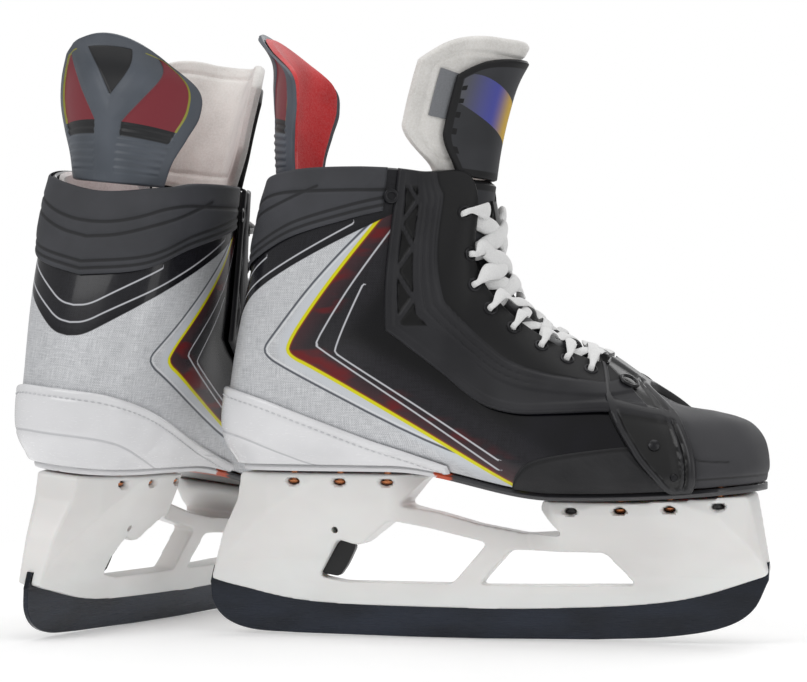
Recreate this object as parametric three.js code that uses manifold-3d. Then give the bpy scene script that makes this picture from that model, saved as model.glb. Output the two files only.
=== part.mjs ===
// A pair of ice hockey skates standing on their blades, right skate along +X, left skate turned away from it.
// Millimetres, +Z up. Each skate is built once as a right skate in its own frame: X forward from the back of
// the heel, Y to the wearer's left, Z up from the ice. The left skate is the mirror image of the right one.
import * as THREE from "three";
import { mergeVertices } from "three/addons/utils/BufferGeometryUtils.js";
import Module from "manifold-3d";

const wasm = await Module();
wasm.setup();

// ---------------------------------------------------------------- driving dimensions

const clearance = 0.4; // between flat or straight neighbours that touch in the real skate
const standOff = 1.1; // between curved neighbours, more because their facets bow towards each other

const boot = {
  length: 284, // back of the heel to the tip of the toe cap
  ballWidth: 102, // across the ball of the foot
  height: 152, // heel seat to the top of the collar at the ankle
  shell: 2.4, // moulded composite quarter
  liner: 5, // foam and fabric inside the quarter
  toeCurve: 5, // how far the toe swings towards the big toe
};
const sole = {
  heelSeat: 91, // underside of the quarter at the heel, above the ice
  pitch: 13, // how much lower the ball of the foot stands
  toeSpring: 5, // rise from the ball to the tip of the toe
  thickness: 3.6,
};
const facing = { lift: 1.6, thickness: 2.2, eyelets: 8, holeLevel: 3.77, holeRadius: 3, edgeInset: 0.42 };
const overlay = { thickness: 2 }; // collar panel, heel counter and toe strap
const lace = { width: 7, pinched: 3.2, thickness: 1.5 };
const tongue = { ridge: 40, cover: 3, felt: 6, wing: 21, feltWing: 42, slot: 1.2, height: 305 };
const guard = { plate: 2.6, lining: 3.2, height: 316, base: 238.5, width: 90 };
const holder = {
  length: 294,
  rail: 12.6, // thickness of the rail that grips the blade
  railTop: 29,
  rearTop: 50, // widths of the two towers under the boot
  frontTop: 74,
  wall: 3,
  flange: 3.4,
};
const runner = {
  thickness: 3,
  slotGap: 0.35,
  inSlot: 6.5, // how deep the blade sits in the holder
  flat: 40, // straight middle of the edge that touches the ice
  postWidth: 16,
  postTop: 40,
  postRoom: 1.6,
};
const trigger = { thickness: 7, slotGap: 0.6, pinRadius: 1.5, springWire: 0.8 };
const rivet = { shank: 1.9, head: 3.4, headHeight: 1.6, strip: 1 };
// Where the left skate stands, its turn away from the right one, and how far it leans in, in degrees.
const pair = { x: -90, y: -56, turn: 76, lean: 6 };

// ---------------------------------------------------------------- small geometry tools

const lerp = (a, b, t) => a + (b - a) * t;
const range = (a, b, n) => Array.from({ length: n + 1 }, (_, i) => lerp(a, b, i / n));
const smooth = (t) => {
  const c = Math.min(1, Math.max(0, t));
  return c * c * (3 - 2 * c);
};

// A value read off a smooth curve through evenly spaced points.
function throughPoints(values, at) {
  const last = values.length - 1;
  const i = Math.min(last - 1, Math.max(0, Math.floor(at)));
  const t = at - i;
  const read = (k) => {
    if (k < 0) return 2 * values[0] - values[1];
    if (k > last) return 2 * values[last] - values[last - 1];
    return values[k];
  };
  const [p0, p1, p2, p3] = [read(i - 1), read(i), read(i + 1), read(i + 2)];
  const bend = (2 * p0 - 5 * p1 + 4 * p2 - p3) * t * t + (3 * p1 - p0 - 3 * p2 + p3) * t * t * t;
  return 0.5 * (2 * p1 + (p2 - p0) * t + bend);
}

// One closed geometry from triangles given as corner points, without the triangles that collapsed.
function closedGeometry(corners) {
  const raw = new THREE.BufferGeometry();
  raw.setAttribute("position", new THREE.Float32BufferAttribute(corners.flat(), 3));
  const merged = mergeVertices(raw, 1e-3);
  const old = merged.index.array;
  const kept = [];
  for (let i = 0; i < old.length; i += 3) {
    const [a, b, c] = [old[i], old[i + 1], old[i + 2]];
    if (a !== b && b !== c && a !== c) kept.push(a, b, c);
  }
  merged.setIndex(kept);
  return merged;
}

// A wall between two grids of points with the same rows and columns, closed along its four edges. Where a grid
// folds back on itself along its last column, as over the ridge of the toe, that edge needs no closing.
function wallBetween(outer, inner, folded = false) {
  const corners = [];
  const quad = (a, b, c, d) => corners.push(a, b, c, a, c, d);
  const rows = outer.length - 1;
  const columns = outer[0].length - 1;
  for (let i = 0; i < rows; i++)
    for (let j = 0; j < columns; j++) {
      quad(outer[i][j], outer[i + 1][j], outer[i + 1][j + 1], outer[i][j + 1]);
      quad(inner[i][j], inner[i][j + 1], inner[i + 1][j + 1], inner[i + 1][j]);
    }
  for (let i = 0; i < rows; i++) {
    quad(outer[i][0], inner[i][0], inner[i + 1][0], outer[i + 1][0]);
    if (!folded) quad(outer[i][columns], outer[i + 1][columns], inner[i + 1][columns], inner[i][columns]);
  }
  for (let j = 0; j < columns; j++) {
    quad(outer[0][j], outer[0][j + 1], inner[0][j + 1], inner[0][j]);
    quad(outer[rows][j], inner[rows][j], inner[rows][j + 1], outer[rows][j + 1]);
  }
  return closedGeometry(corners);
}

function toSolid(geometry) {
  const bare = geometry.index ? geometry.clone() : geometry;
  bare.deleteAttribute("normal");
  bare.deleteAttribute("uv");
  const merged = mergeVertices(bare, 1e-4);
  return new wasm.Manifold(
    new wasm.Mesh({
      numProp: 3,
      vertProperties: merged.attributes.position.array,
      triVerts: new Uint32Array(merged.index.array),
    }),
  );
}

function toGeometry(solid) {
  const mesh = solid.getMesh();
  const geometry = new THREE.BufferGeometry();
  geometry.setAttribute("position", new THREE.BufferAttribute(new Float32Array(mesh.vertProperties), 3));
  geometry.setIndex(new THREE.BufferAttribute(new Uint32Array(mesh.triVerts), 1));
  return geometry;
}

// A side view outline of [x, z] points, extruded across the skate between two y values.
function sideProfile(points, yLow, yHigh) {
  const shape = new THREE.Shape(points.map(([x, z]) => new THREE.Vector2(x, z)));
  const solid = new THREE.ExtrudeGeometry(shape, { depth: yHigh - yLow, bevelEnabled: false });
  solid.rotateX(Math.PI / 2); // the extrusion now runs towards -Y
  solid.translate(0, yHigh, 0);
  return solid;
}

// The same across the skate: an outline of [y, z] points, extruded along x.
function frontProfile(points, xLow, xHigh) {
  const shape = new THREE.Shape(points.map(([y, z]) => new THREE.Vector2(y, z)));
  const solid = new THREE.ExtrudeGeometry(shape, { depth: xHigh - xLow, bevelEnabled: false });
  solid.rotateX(Math.PI / 2);
  solid.rotateZ(Math.PI / 2); // the outline's first axis is now +Y
  solid.translate(xLow, 0, 0);
  return solid;
}

function upright(radius, sides, x, y, zLow, zHigh) {
  const post = new THREE.CylinderGeometry(radius, radius, zHigh - zLow, sides);
  post.rotateX(Math.PI / 2);
  post.translate(x, y, (zLow + zHigh) / 2);
  return post;
}

function crossPin(radius, sides, x, z, halfLength) {
  const pin = new THREE.CylinderGeometry(radius, radius, 2 * halfLength, sides);
  pin.translate(x, 0, z);
  return pin;
}

// ---------------------------------------------------------------- the boot's outer surface

// Underside of the quarter along the foot: flat heel seat, S-curve down to the ball, then the toe spring.
function soleHeight(x) {
  const along = x / boot.length;
  const drop = smooth((along - 0.33) / 0.31);
  const spring = Math.max(0, (along - 0.64) / 0.36);
  return sole.heelSeat - sole.pitch * drop + sole.toeSpring * spring * spring;
}

// How far the foot's middle swings towards the big toe.
const toeSwing = (x) => boot.toeCurve * Math.max(0, x / boot.length - 0.45) ** 2 * 3.3;

// Stations round one half of the quarter, from the middle of the heel to the toe seam. Each holds five points
// from the sole edge up to the top edge: percent of boot length, of half the ball width, and of boot height.
const quarterNet = [
  [[3.5, 0, 0], [0, 0, 11], [1.2, 0, 32], [4.2, 0, 60], [9.2, 0, 94]],
  [[5.6, 37, 0], [3.2, 49, 11], [3.9, 53, 32], [7, 61, 60], [11.3, 65, 97]],
  [[13.4, 53, 0], [12.3, 69, 11], [12.7, 75, 32], [14.8, 86, 61], [17.6, 84, 99.5]],
  [[26.4, 55, 0], [26.4, 71, 10], [26.4, 80, 31], [26.8, 92, 60], [28.2, 88, 100]],
  [[39.4, 59, 0], [38.7, 75, 9], [37.5, 80, 29], [36, 80, 58], [38.8, 69, 99.5]],
  [[49.3, 69, 0], [48.4, 84, 8], [46, 82, 27], [42.2, 69, 57], [47.5, 44, 101]],
  [[58.1, 80, 0], [57.2, 94, 6.8], [54.4, 90, 21.5], [49, 69, 45.5], [47.2, 43, 77.6]],
  [[66.9, 88, 0], [66.9, 100, 5.3], [65, 95, 17], [60.8, 74, 36.5], [52.8, 41, 60.5]],
  [[75.7, 90, 0], [76, 100, 4.6], [75.4, 94, 14.5], [72.2, 76, 29.6], [62.7, 39, 47]],
  [[84.5, 86, 0], [84.9, 94, 4.6], [83.8, 88, 13.2], [80.6, 69, 25], [72.2, 37, 39.8]],
];

// The toe cap continues the quarter, with a sixth point on the ridge, and ends at the middle of the tip.
const toeNet = [
  [...quarterNet[9], [71.5, 0, 42.4]],
  [[91.5, 73, 0], [92.3, 80, 4.6], [91.2, 75, 11.8], [88, 57, 21], [83.1, 27, 27], [81.7, 0, 28.6]],
  [[97.5, 43, 0], [98.2, 49, 5.3], [97.2, 45, 13.2], [94.4, 33, 20.4], [90.8, 16, 23.4], [89.8, 0, 24]],
  [[99.5, 0, 0], [100, 0, 5.9], [99.3, 0, 13.8], [97.2, 0, 19.1], [94.4, 0, 21.7], [92.6, 0, 22.4]],
];

function netPoint(net, station, level, seam) {
  const column = (k) => {
    if (k < 0) return seam === "heel" ? mirrored(column(-k)) : extended(net[0], net[1]);
    if (k >= net.length)
      return seam === "toe" ? mirrored(net[2 * (net.length - 1) - k]) : extended(net.at(-1), net.at(-2));
    return net[k];
  };
  const mirrored = (points) => points.map(([x, y, z]) => [x, -y, z]);
  const extended = (near, far) => near.map((p, i) => p.map((v, axis) => 2 * v - far[i][axis]));
  const whole = Math.min(net.length - 2, Math.max(0, Math.floor(station)));
  const four = [-1, 0, 1, 2].map((step) => column(whole + step));
  return [0, 1, 2].map((axis) => {
    const levels = four.map((points) => throughPoints(points.map((p) => p[axis]), level));
    const t = station - whole;
    const [a, b, c, d] = levels;
    const bend = (2 * a - 5 * b + 4 * c - d) * t * t + (3 * b - a - 3 * c + d) * t * t * t;
    return 0.5 * (2 * b + (c - a) * t + bend);
  });
}

// A point of the bare surface in millimetres, on the wearer's left (side +1) or right (side -1).
function surfacePoint(net, station, level, side, seam) {
  const [px, py, pz] = netPoint(net, station, level, seam);
  const [bx] = netPoint(net, station, 0, seam);
  const x = (px / 100) * boot.length;
  const y = side * (py / 100) * (boot.ballWidth / 2);
  const z = soleHeight((bx / 100) * boot.length) + (pz / 100) * boot.height;
  return new THREE.Vector3(x, y + toeSwing(x), z);
}

// The point at a distance outside the surface, along its normal.
function offsetPoint(net, station, level, side, out, seam) {
  const h = 0.02;
  const here = surfacePoint(net, station, level, side, seam);
  const along = surfacePoint(net, station + h, level, side, seam).sub(
    surfacePoint(net, station - h, level, side, seam),
  );
  const up = surfacePoint(net, station, level + h, side, seam).sub(
    surfacePoint(net, station, level - h, side, seam),
  );
  const normal = up.cross(along).multiplyScalar(side).normalize();
  const middle = (seam === "heel" && station === 0) || (seam === "toe" && station === net.length - 1);
  if (middle) normal.y = 0;
  return here.addScaledVector(normal.normalize(), out);
}

// Quarter stations run from -9 on the right, over the heel at 0, to +9 on the left.
const quarterPoint = (station, level, out) =>
  offsetPoint(quarterNet, Math.abs(station), level, station < 0 ? -1 : 1, out, "heel").toArray();

// Toe stations run from 0 at the right seam, over the tip at 3, to 6 at the left seam.
function toePoint(station, level, out) {
  const tip = toeNet.length - 1;
  const side = station > tip ? 1 : -1;
  const folded = station > tip ? 2 * tip - station : station;
  const p = offsetPoint(toeNet, folded, level, side, out, "toe");
  if (level === toeNet[0].length - 1) {
    p.lerp(offsetPoint(toeNet, folded, level, -side, out, "toe"), 0.5); // both halves meet on the ridge
    p.y = toeSwing(p.x);
  }
  return p.toArray();
}

// A piece that covers part of the quarter: its stations, its two levels at each, and its two depths.
function quarterPatch(stations, low, high, levels, inside, outside) {
  const grid = (out) =>
    stations.map((s) => range(0, 1, levels).map((t) => quarterPoint(s, lerp(low(s), high(s), t), out)));
  return wallBetween(grid(inside), grid(outside));
}

// ---------------------------------------------------------------- the pieces of the boot

const topLevel = 4;
const throatStart = 4.75; // station where the collar ends and the lace facing's free edge begins
const shellTop = (s) => topLevel - facing.edgeInset * smooth((Math.abs(s) - throatStart + 0.5) / 0.5);
const quarterStations = [...range(-9, -3, 9), ...range(-3, 3, 12).slice(1), ...range(3, 9, 9).slice(1)];

function makeQuarter() {
  return quarterPatch(quarterStations, () => 0, shellTop, 8, -boot.shell, 0);
}

function makeLiner() {
  const stations = quarterStations.filter((s) => Math.abs(s) < 5.1);
  const top = (s) => shellTop(s) - 0.3 * smooth((Math.abs(s) - 3.8) / 1);
  const outside = -(boot.shell + standOff + 0.3);
  return quarterPatch(stations, () => 0.35, top, 6, outside - boot.liner, outside);
}

const panelEdge = [3.15, 3.25, 3.42, 3.58, 3.72]; // lower edge of the padded collar panel, station by station

function makeCollarPanel() {
  const low = (s) => throughPoints(panelEdge, Math.abs(s));
  const stations = range(-3.5, 3.5, 14);
  return quarterPatch(stations, low, () => topLevel, 2, standOff, standOff + overlay.thickness);
}

const counterEdge = [1.75, 1.72, 1.5, 1.05, 0.55, 0.3]; // upper edge of the heel counter

function makeHeelCounter() {
  const high = (s) => throughPoints(counterEdge, Math.abs(s));
  const stations = range(-4.5, 4.5, 18);
  return quarterPatch(stations, () => 0.03, high, 3, standOff, standOff + overlay.thickness);
}

const facingEdge = [2.6, 2.35, 2.2, 2.3, 2.55, 2.8, 2.9]; // outer edge of the facing, from station 3.6 to 9
const facingStations = [3.6, 9];

function facingLow(s) {
  const share = (s - facingStations[0]) / (facingStations[1] - facingStations[0]);
  return throughPoints(facingEdge, share * (facingEdge.length - 1));
}

// Which way the facing's free edge runs at a station.
function edgeDirection(station) {
  const step = 0.1 * Math.sign(station);
  const ahead = new THREE.Vector3(...quarterPoint(station + step, topLevel, 0));
  return ahead.sub(new THREE.Vector3(...quarterPoint(station - step, topLevel, 0))).normalize();
}

// The station at which a lower level lies straight across from the free edge's point at another station.
function acrossFrom(station, level) {
  const edge = new THREE.Vector3(...quarterPoint(station, topLevel, 0));
  const run = edgeDirection(station);
  const off = (s) => Math.abs(new THREE.Vector3(...quarterPoint(s, level, 0)).sub(edge).dot(run));
  return range(station - 1.6, station + 0.6, 88).reduce((best, s) => (off(s) < off(best) ? s : best));
}

// Eyelets sit in a row a little in from the free edge: the edge's station, and the hole's station and level.
const eyelets = range(5.5, 8.75, facing.eyelets - 1).map((edge) => {
  const level = facing.holeLevel - 0.03 * (edge - 5);
  return { edge, level, station: acrossFrom(edge, level) };
});

function makeFacing(side) {
  const stations = quarterStations.filter((s) => side * s > facingStations[0]);
  let solid = toSolid(
    quarterPatch(
      stations,
      (s) => facingLow(Math.abs(s)),
      () => topLevel,
      4,
      facing.lift,
      facing.lift + facing.thickness,
    ),
  );
  for (const { station, level } of eyelets) {
    const low = new THREE.Vector3(...quarterPoint(side * station, level, -4));
    const high = new THREE.Vector3(...quarterPoint(side * station, level, 8));
    const [r, deep] = [facing.holeRadius, low.distanceTo(high)];
    const drill = new THREE.CylinderGeometry(r, r, deep, 6);
    drill.applyQuaternion(
      new THREE.Quaternion().setFromUnitVectors(new THREE.Vector3(0, 1, 0), high.clone().sub(low).normalize()),
    );
    const middle = low.lerp(high, 0.5);
    drill.translate(middle.x, middle.y, middle.z);
    solid = solid.subtract(toSolid(drill));
  }
  return toGeometry(solid);
}

const toeSeam = 0.07; // the toe cap starts this far past the quarter's last station

function toePatch(low, high, stations, inside, outside, levels) {
  const grid = (out) => stations.map((s) => levels.map((level) => toePoint(lerp(low, high, s), level, out)));
  return wallBetween(grid(inside), grid(outside), true);
}

function makeToeCap() {
  const levels = [0, 0.5, 1, 1.7, 2.4, 3.1, 4, 5];
  return toePatch(toeSeam, 6 - toeSeam, range(0, 1, 16), 0, -boot.shell - 1, levels);
}

// A band over the toe cap's rear edge, from sole to sole.
function makeToeStrap() {
  const levels = [0.12, 1, 2, 3, 4, 5];
  const inside = standOff;
  const outside = standOff + overlay.thickness;
  const half = (side, out) =>
    levels.map((level) =>
      range(toeSeam, lerp(0.95, 0.8, level / 5), 3).map((s) => toePoint(side < 0 ? s : 6 - s, level, out)),
    );
  const grid = (out) => [...half(-1, out), ...half(1, out).reverse().slice(1)];
  return wallBetween(grid(inside), grid(outside));
}

// ---------------------------------------------------------------- under the foot

// The outline of the sole as pairs of right and left points at the same station, inset by a margin.
function soleStations(inset) {
  const quarter = [0.001, 0.4, 0.8, 1.4, 2, 3, 4, 5, 6, 7, 8, 8.97].map((s) =>
    [-1, 1].map((side) => quarterPoint(side * s, 0.02, -inset)),
  );
  const toe = [0.35, 0.8, 1.3, 1.8, 2.3, 2.7, 2.999].map((s) =>
    [s, 6 - s].map((station) => toePoint(station, 0.02, -inset)),
  );
  return [...quarter, ...toe];
}

// A plate across those pairs, between two heights measured from the underside of the quarter.
function solePlate(inset, low, high, from = 0, to = 99) {
  const stations = soleStations(inset).slice(from, to);
  const grid = (lift) => stations.map((sides) => sides.map(([x, y]) => [x, y, soleHeight(x) + lift]));
  return wallBetween(grid(high), grid(low));
}

const soleUnderside = (x) => soleHeight(x) - clearance - sole.thickness;
const flangeTop = (x) => soleUnderside(x) - standOff;
const flangeUnder = (x) => flangeTop(x) - holder.flange;

// Rivets as distance from the back of the heel and from the middle of the foot.
const rivetRows = {
  rear: [[40, 17], [65, 19], [90, 19]],
  front: [[188, 25], [213, 28], [238, 28], [262, 22]],
};
const rivetSpots = (row) => row.flatMap(([x, y]) => [-1, 1].map((side) => [x, side * y + toeSwing(x)]));

function makeOutsole() {
  let plate = toSolid(solePlate(0.6, -clearance - sole.thickness, -clearance));
  for (const row of Object.values(rivetRows))
    for (const [x, y] of rivetSpots(row)) {
      const drill = upright(rivet.shank + 0.3, 6, x, y, soleHeight(x) - 12, soleHeight(x) + 12);
      plate = plate.subtract(toSolid(drill));
    }
  return toGeometry(plate);
}

const stripLift = 0.4; // rivet strips lie this far above the outsole, under the footbed

function makeFootbed() {
  const inset = boot.shell + boot.liner + 2.5;
  const low = stripLift + rivet.strip + 1.2;
  return solePlate(inset, low, low + 4, 1, -1);
}

// The rivets of one tower, joined into one piece by the thin washer strip inside the boot.
function makeRivets(row) {
  const grid = (lift) =>
    row.map(([x, y], i) => {
      const end = i === 0 ? x - rivet.head : i === row.length - 1 ? x + rivet.head : x;
      return [-1, 1].map((side) => [end, side * (y + rivet.head) + toeSwing(x), soleHeight(end) + lift]);
    });
  let solid = toSolid(wallBetween(grid(stripLift + rivet.strip), grid(stripLift)));
  for (const [x, y] of rivetSpots(row)) {
    const headTop = flangeUnder(x) - clearance;
    const shank = upright(rivet.shank, 6, x, y, headTop - 1, soleHeight(x) + stripLift + rivet.strip / 2);
    const head = upright(rivet.head, 8, x, y, headTop - rivet.headHeight, headTop);
    solid = solid.add(toSolid(shank)).add(toSolid(head));
  }
  return toGeometry(solid);
}

// ---------------------------------------------------------------- blade holder

const hx = (x) => (x / 294) * holder.length; // holder outlines are drawn for a 294 mm holder, 86 mm tall
const hz = (z) => (z / 86) * flangeTop(0);
const place = (points) => points.map(([x, z]) => [hx(x), hz(z)]);

const bladeLine = [[-9, 29], [7, 25], [50, 17.5], [136, 16], [178, 17], [219, 19.5], [250, 24.5], [285, 36]];
const rearWindow = [[50, 31], [61, 51], [73, 47.5], [90, 61.5], [140, 50], [121.5, 28.5], [64, 28.5]];
const frontWindow = [[135.5, 28], [152, 46.5], [203, 46.5], [218, 29.5]];

// The gap between the towers, under the arch of the boot and over the bridge.
const archGap = [[95, 69], [108, 83], [108, 99], [170, 99], [170, 68.5], [183, 55.5], [136, 59.5]];

// The top of the holder lies under the outsole, so it follows the sole's line.
const flangeLine = (from, to, steps) => range(from, to, steps).map((x) => [x, flangeTop(x)]);

function towerSolid(top, bottom, width) {
  const halfTop = width / 2;
  const body = toSolid(sideProfile([...bottom, ...top], -halfTop, halfTop));
  const zTop = Math.max(...top.map((p) => p[1]));
  const narrow = holder.rail / 2;
  const levels = [
    [0, narrow],
    [hz(holder.railTop), narrow],
    [hz(48), lerp(narrow, halfTop, 0.36)],
    [zTop - holder.flange - 8, lerp(narrow, halfTop, 0.86)],
    [zTop - holder.flange, halfTop],
    [zTop + 1, halfTop],
  ];
  const flare = [...levels.map(([z, y]) => [y, z]), ...[...levels].reverse().map(([z, y]) => [-y, z])];
  return body.intersect(toSolid(frontProfile(flare, -60, boot.length + 60)));
}

// A pocket that leaves a wall's thickness all round a tower, open upwards under the outsole.
function towerPocket(xLow, xHigh, slope, width, floor) {
  const halfTop = width / 2;
  const w = holder.wall;
  const z0 = hz(floor);
  const z1 = sole.heelSeat + 5;
  const side = [[xLow + w + slope[0], z0], [xHigh - w + slope[1], z0], [xHigh - w, z1], [xLow + w, z1]];
  const narrow = holder.rail / 2 - w / 2;
  const across = [[narrow, z0], [halfTop * 0.6, z1], [-halfTop * 0.6, z1], [-narrow, z0]];
  return toSolid(sideProfile(side, -halfTop, halfTop)).intersect(toSolid(frontProfile(across, xLow, xHigh)));
}

const pinSpot = place([[60.5, 56]])[0];
const postSpan = { rear: [26, 26 + runner.postWidth], front: [246, 246 + runner.postWidth] };

// Seen from above the holder is rounded at both ends and waisted at the bridge: half widths along the holder.
const planHalf = [[-12, 0.2], [-4, 0.32], [8, 0.48], [25, 0.74], [50, 0.96], [112, 1], [140, 1], [170, 0.84],
  [200, 0.96], [240, 1], [262, 0.9], [276, 0.62], [288, 0.2]];

function planPrism() {
  const widest = (x) => (x < 140 ? holder.rearTop : holder.frontTop) / 2;
  const half = planHalf.map(([x, share]) => [hx(x), share * widest(x)]);
  const outline = [...half.map(([x, y]) => [x, -y]), ...[...half].reverse().map(([x, y]) => [x, y])];
  const shape = new THREE.Shape(outline.map(([x, y]) => new THREE.Vector2(x, y + toeSwing(x))));
  return toSolid(new THREE.ExtrudeGeometry(shape, { depth: 150, bevelEnabled: false }));
}

function makeHolder() {
  const half = holder.rail / 2;
  const rearTop = flangeLine(112, 9, 4);
  const frontTop = flangeLine(276, 172, 5);
  const back = place([[7, 72], [-2, 54]]);
  const outline = [...place(bladeLine), [hx(281), hz(54)], ...frontTop, ...rearTop, ...back];
  const core = sideProfile(outline, -half, half);
  const rearFoot = place([[-9, 30], [62, 30], [74, 50], [92, 64]]);
  const frontFoot = place([[170, 68.5], [183, 55.5], [205, 46.5], [218, 30], [283, 37], [281, 54]]);
  let solid = toSolid(core)
    .add(towerSolid(rearTop, [...back, ...rearFoot], holder.rearTop))
    .add(towerSolid(frontTop, frontFoot, holder.frontTop))
    .intersect(planPrism());
  for (const hole of [rearWindow, frontWindow, archGap])
    solid = solid.subtract(toSolid(sideProfile(place(hole), -60, 60)));
  solid = solid.subtract(towerPocket(hx(8), hx(96), [-4, -14], holder.rearTop, 58));
  solid = solid.subtract(towerPocket(hx(190), hx(266), [18, 6], holder.frontTop, 56));
  for (const [x, y] of Object.values(rivetRows).flatMap(rivetSpots)) {
    const scallop = upright(rivet.head + 3, 8, x, y + Math.sign(y) * 2, flangeUnder(x) - 8, flangeUnder(x));
    const hole = upright(rivet.shank + 0.3, 6, x, y, flangeUnder(x) - 4, flangeUnder(x) + 30);
    solid = solid.subtract(toSolid(scallop)).subtract(toSolid(hole));
  }
  return toGeometry(solid.subtract(runnerSlot()).subtract(triggerSlot()).subtract(postPockets()));
}

// The groove along the underside that the blade's upper edge sits in.
function runnerSlot() {
  const half = runner.thickness / 2 + runner.slotGap;
  const roof = place(bladeLine).map(([x, z]) => [x, z + runner.inSlot + runner.slotGap]);
  const open = [[-40, -10], [boot.length + 60, -10], [boot.length + 60, roof.at(-1)[1]]];
  return toSolid(sideProfile([...open, ...roof.reverse(), [-40, roof.at(-1)[1]]], -half, half));
}

// Two pockets for the blade's posts, with room for them to swing.
function postPockets() {
  const half = runner.thickness / 2 + runner.slotGap;
  const pocket = ([low, high]) => {
    const [x0, x1] = [hx(low) - runner.postRoom, hx(high) + runner.postRoom];
    const [z0, z1] = [hz(14), hz(runner.postTop) + runner.postRoom];
    return toSolid(sideProfile([[x0, z0], [x1, z0], [x1, z1], [x0, z1]], -half, half));
  };
  return pocket(postSpan.rear).add(pocket(postSpan.front));
}

// ---------------------------------------------------------------- blade

function makeRunner() {
  const half = runner.thickness / 2;
  const seated = place(bladeLine).map(([x, z]) => [x, z + runner.inSlot]);
  const middle = hx(118);
  const heelEdge = place([[-11, 26], [-9, 15], [-1, 6.5], [13, 2], [36, 0.8]]);
  const toeEdge = place([[196, 0.9], [232, 3], [260, 8], [276, 17], [284.5, 33]]);
  const edge = [...heelEdge, [middle - runner.flat / 2, 0], [middle + runner.flat / 2, 0], ...toeEdge];
  const plate = toSolid(sideProfile([...edge, ...seated.reverse()], -half, half));
  const post = ([low, high]) => {
    const [foot, tip] = [hz(15), hz(runner.postTop)];
    const outline = [[hx(low), foot], [hx(high), foot], [hx(high) - 3, tip], [hx(low) + 3, tip]];
    return toSolid(sideProfile(outline, -half, half));
  };
  return toGeometry(plate.add(post(postSpan.rear)).add(post(postSpan.front)));
}

// ---------------------------------------------------------------- blade release

const triggerOutline = [
  [50.6, 32.6], [60.4, 31], [66, 38], [70, 47], [65.5, 52], [64.5, 60], [57, 60], [56.3, 52.5],
];

function triggerSlot() {
  const half = trigger.thickness / 2 + trigger.slotGap;
  const room = place([[46, 30], [66, 30], [78, 47], [70, 54], [68, 64], [53, 64], [52, 51]]);
  const bore = toSolid(crossPin(trigger.pinRadius + 0.3, 8, ...pinSpot, 40));
  return toSolid(sideProfile(room, -half, half)).add(bore);
}

function makeTrigger() {
  const half = trigger.thickness / 2;
  const body = toSolid(sideProfile(place(triggerOutline), -half, half - trigger.springWire * 2));
  return toGeometry(body.subtract(toSolid(crossPin(trigger.pinRadius + 0.3, 8, ...pinSpot, 40))));
}

function makePin() {
  return crossPin(trigger.pinRadius, 8, ...pinSpot, holder.rail / 2 - 0.4);
}

// A torsion spring's two turns round the pin, in the space beside the trigger.
function makeSpring() {
  const wire = trigger.springWire / 2;
  const coil = trigger.pinRadius + 0.5 + wire;
  const turns = 1.25;
  const steps = 12;
  const y0 = trigger.thickness / 2 - trigger.springWire * 2 + 0.35 + wire;
  const ring = (t) => {
    const angle = t * turns * 2 * Math.PI;
    const y = y0 + t * turns * trigger.springWire * 1.05;
    return [0, 1, 2, 3, 4].map((k) => {
      const round = (k / 4) * 2 * Math.PI;
      const r = coil + wire * Math.cos(round);
      return [pinSpot[0] + r * Math.cos(angle), y + wire * Math.sin(round), pinSpot[1] + r * Math.sin(angle)];
    });
  };
  const rings = range(0, 1, steps).map(ring);
  const corners = [];
  for (let i = 0; i < steps; i++)
    for (let k = 0; k < 4; k++) {
      const [a, b, c, d] = [rings[i][k], rings[i + 1][k], rings[i + 1][k + 1], rings[i][k + 1]];
      corners.push(a, c, b, a, d, c);
    }
  const [first, last] = [rings[0], rings.at(-1)];
  corners.push(first[0], first[2], first[1], first[0], first[3], first[2]);
  corners.push(last[0], last[1], last[2], last[0], last[2], last[3]);
  return closedGeometry(corners);
}

// ---------------------------------------------------------------- tongue

// The tongue's front line from the vamp up over the instep, in percent of boot length and of boot height over
// the heel seat, and the half angle of its rounded ridge at each point.
const tongueLine = [[69.7, 36.5, 36], [64.8, 39.7, 38], [60.6, 43.7, 40], [57, 49, 44], [53.9, 56.6, 48],
  [51.4, 65, 52], [50.2, 74.5, 53], [49.8, 85, 53], [50.4, 95.5, 52]];
// Above the collar the free end leans forward: millimetres in front of the collar, and share of the rise.
const tongueTop = [[0, 0], [2.6, 0.25], [6.5, 0.5], [12, 0.75], [22, 1]];

function tonguePoint(at, across, depth) {
  const collar = tongueLine.length - 1;
  const line = (t) => {
    if (t <= collar) {
      const [px, pz, a] = [0, 1, 2].map((axis) => throughPoints(tongueLine.map((p) => p[axis]), t));
      return [(px / 100) * boot.length, sole.heelSeat + (pz / 100) * boot.height, a];
    }
    const [cx, cz, a] = tongueLine[collar];
    const u = t - collar;
    const base = sole.heelSeat + (cz / 100) * boot.height;
    return [
      (cx / 100) * boot.length + throughPoints(tongueTop.map((p) => p[0]), u),
      lerp(base, tongue.height, throughPoints(tongueTop.map((p) => p[1]), u)),
      a,
    ];
  };
  const [x, z, angle] = line(at);
  const [xa, za] = line(at - 0.05);
  const [xb, zb] = line(at + 0.05);
  const tangent = new THREE.Vector2(xb - xa, zb - za).normalize();
  const back = new THREE.Vector2(-tangent.y, tangent.x); // from the front face into the boot
  const half = THREE.MathUtils.degToRad(angle);
  const radius = tongue.ridge / 2 / Math.sin(half);
  const arc = radius * half;
  const girth = Math.abs(across);
  const turned = Math.min(girth, arc) / radius;
  const beyond = Math.max(0, girth - arc);
  const y = (radius - depth) * Math.sin(turned) + beyond * Math.cos(half);
  const into = radius - (radius - depth) * Math.cos(turned) + beyond * Math.sin(half);
  return [x + back.x * into, Math.sign(across) * y + toeSwing(x) * 0.5, z + back.y * into];
}

const tongueSplit = tongueLine.length - 1; // the free part starts at the collar
const ridgeArc = 20; // half the girth of the rounded ridge

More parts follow.
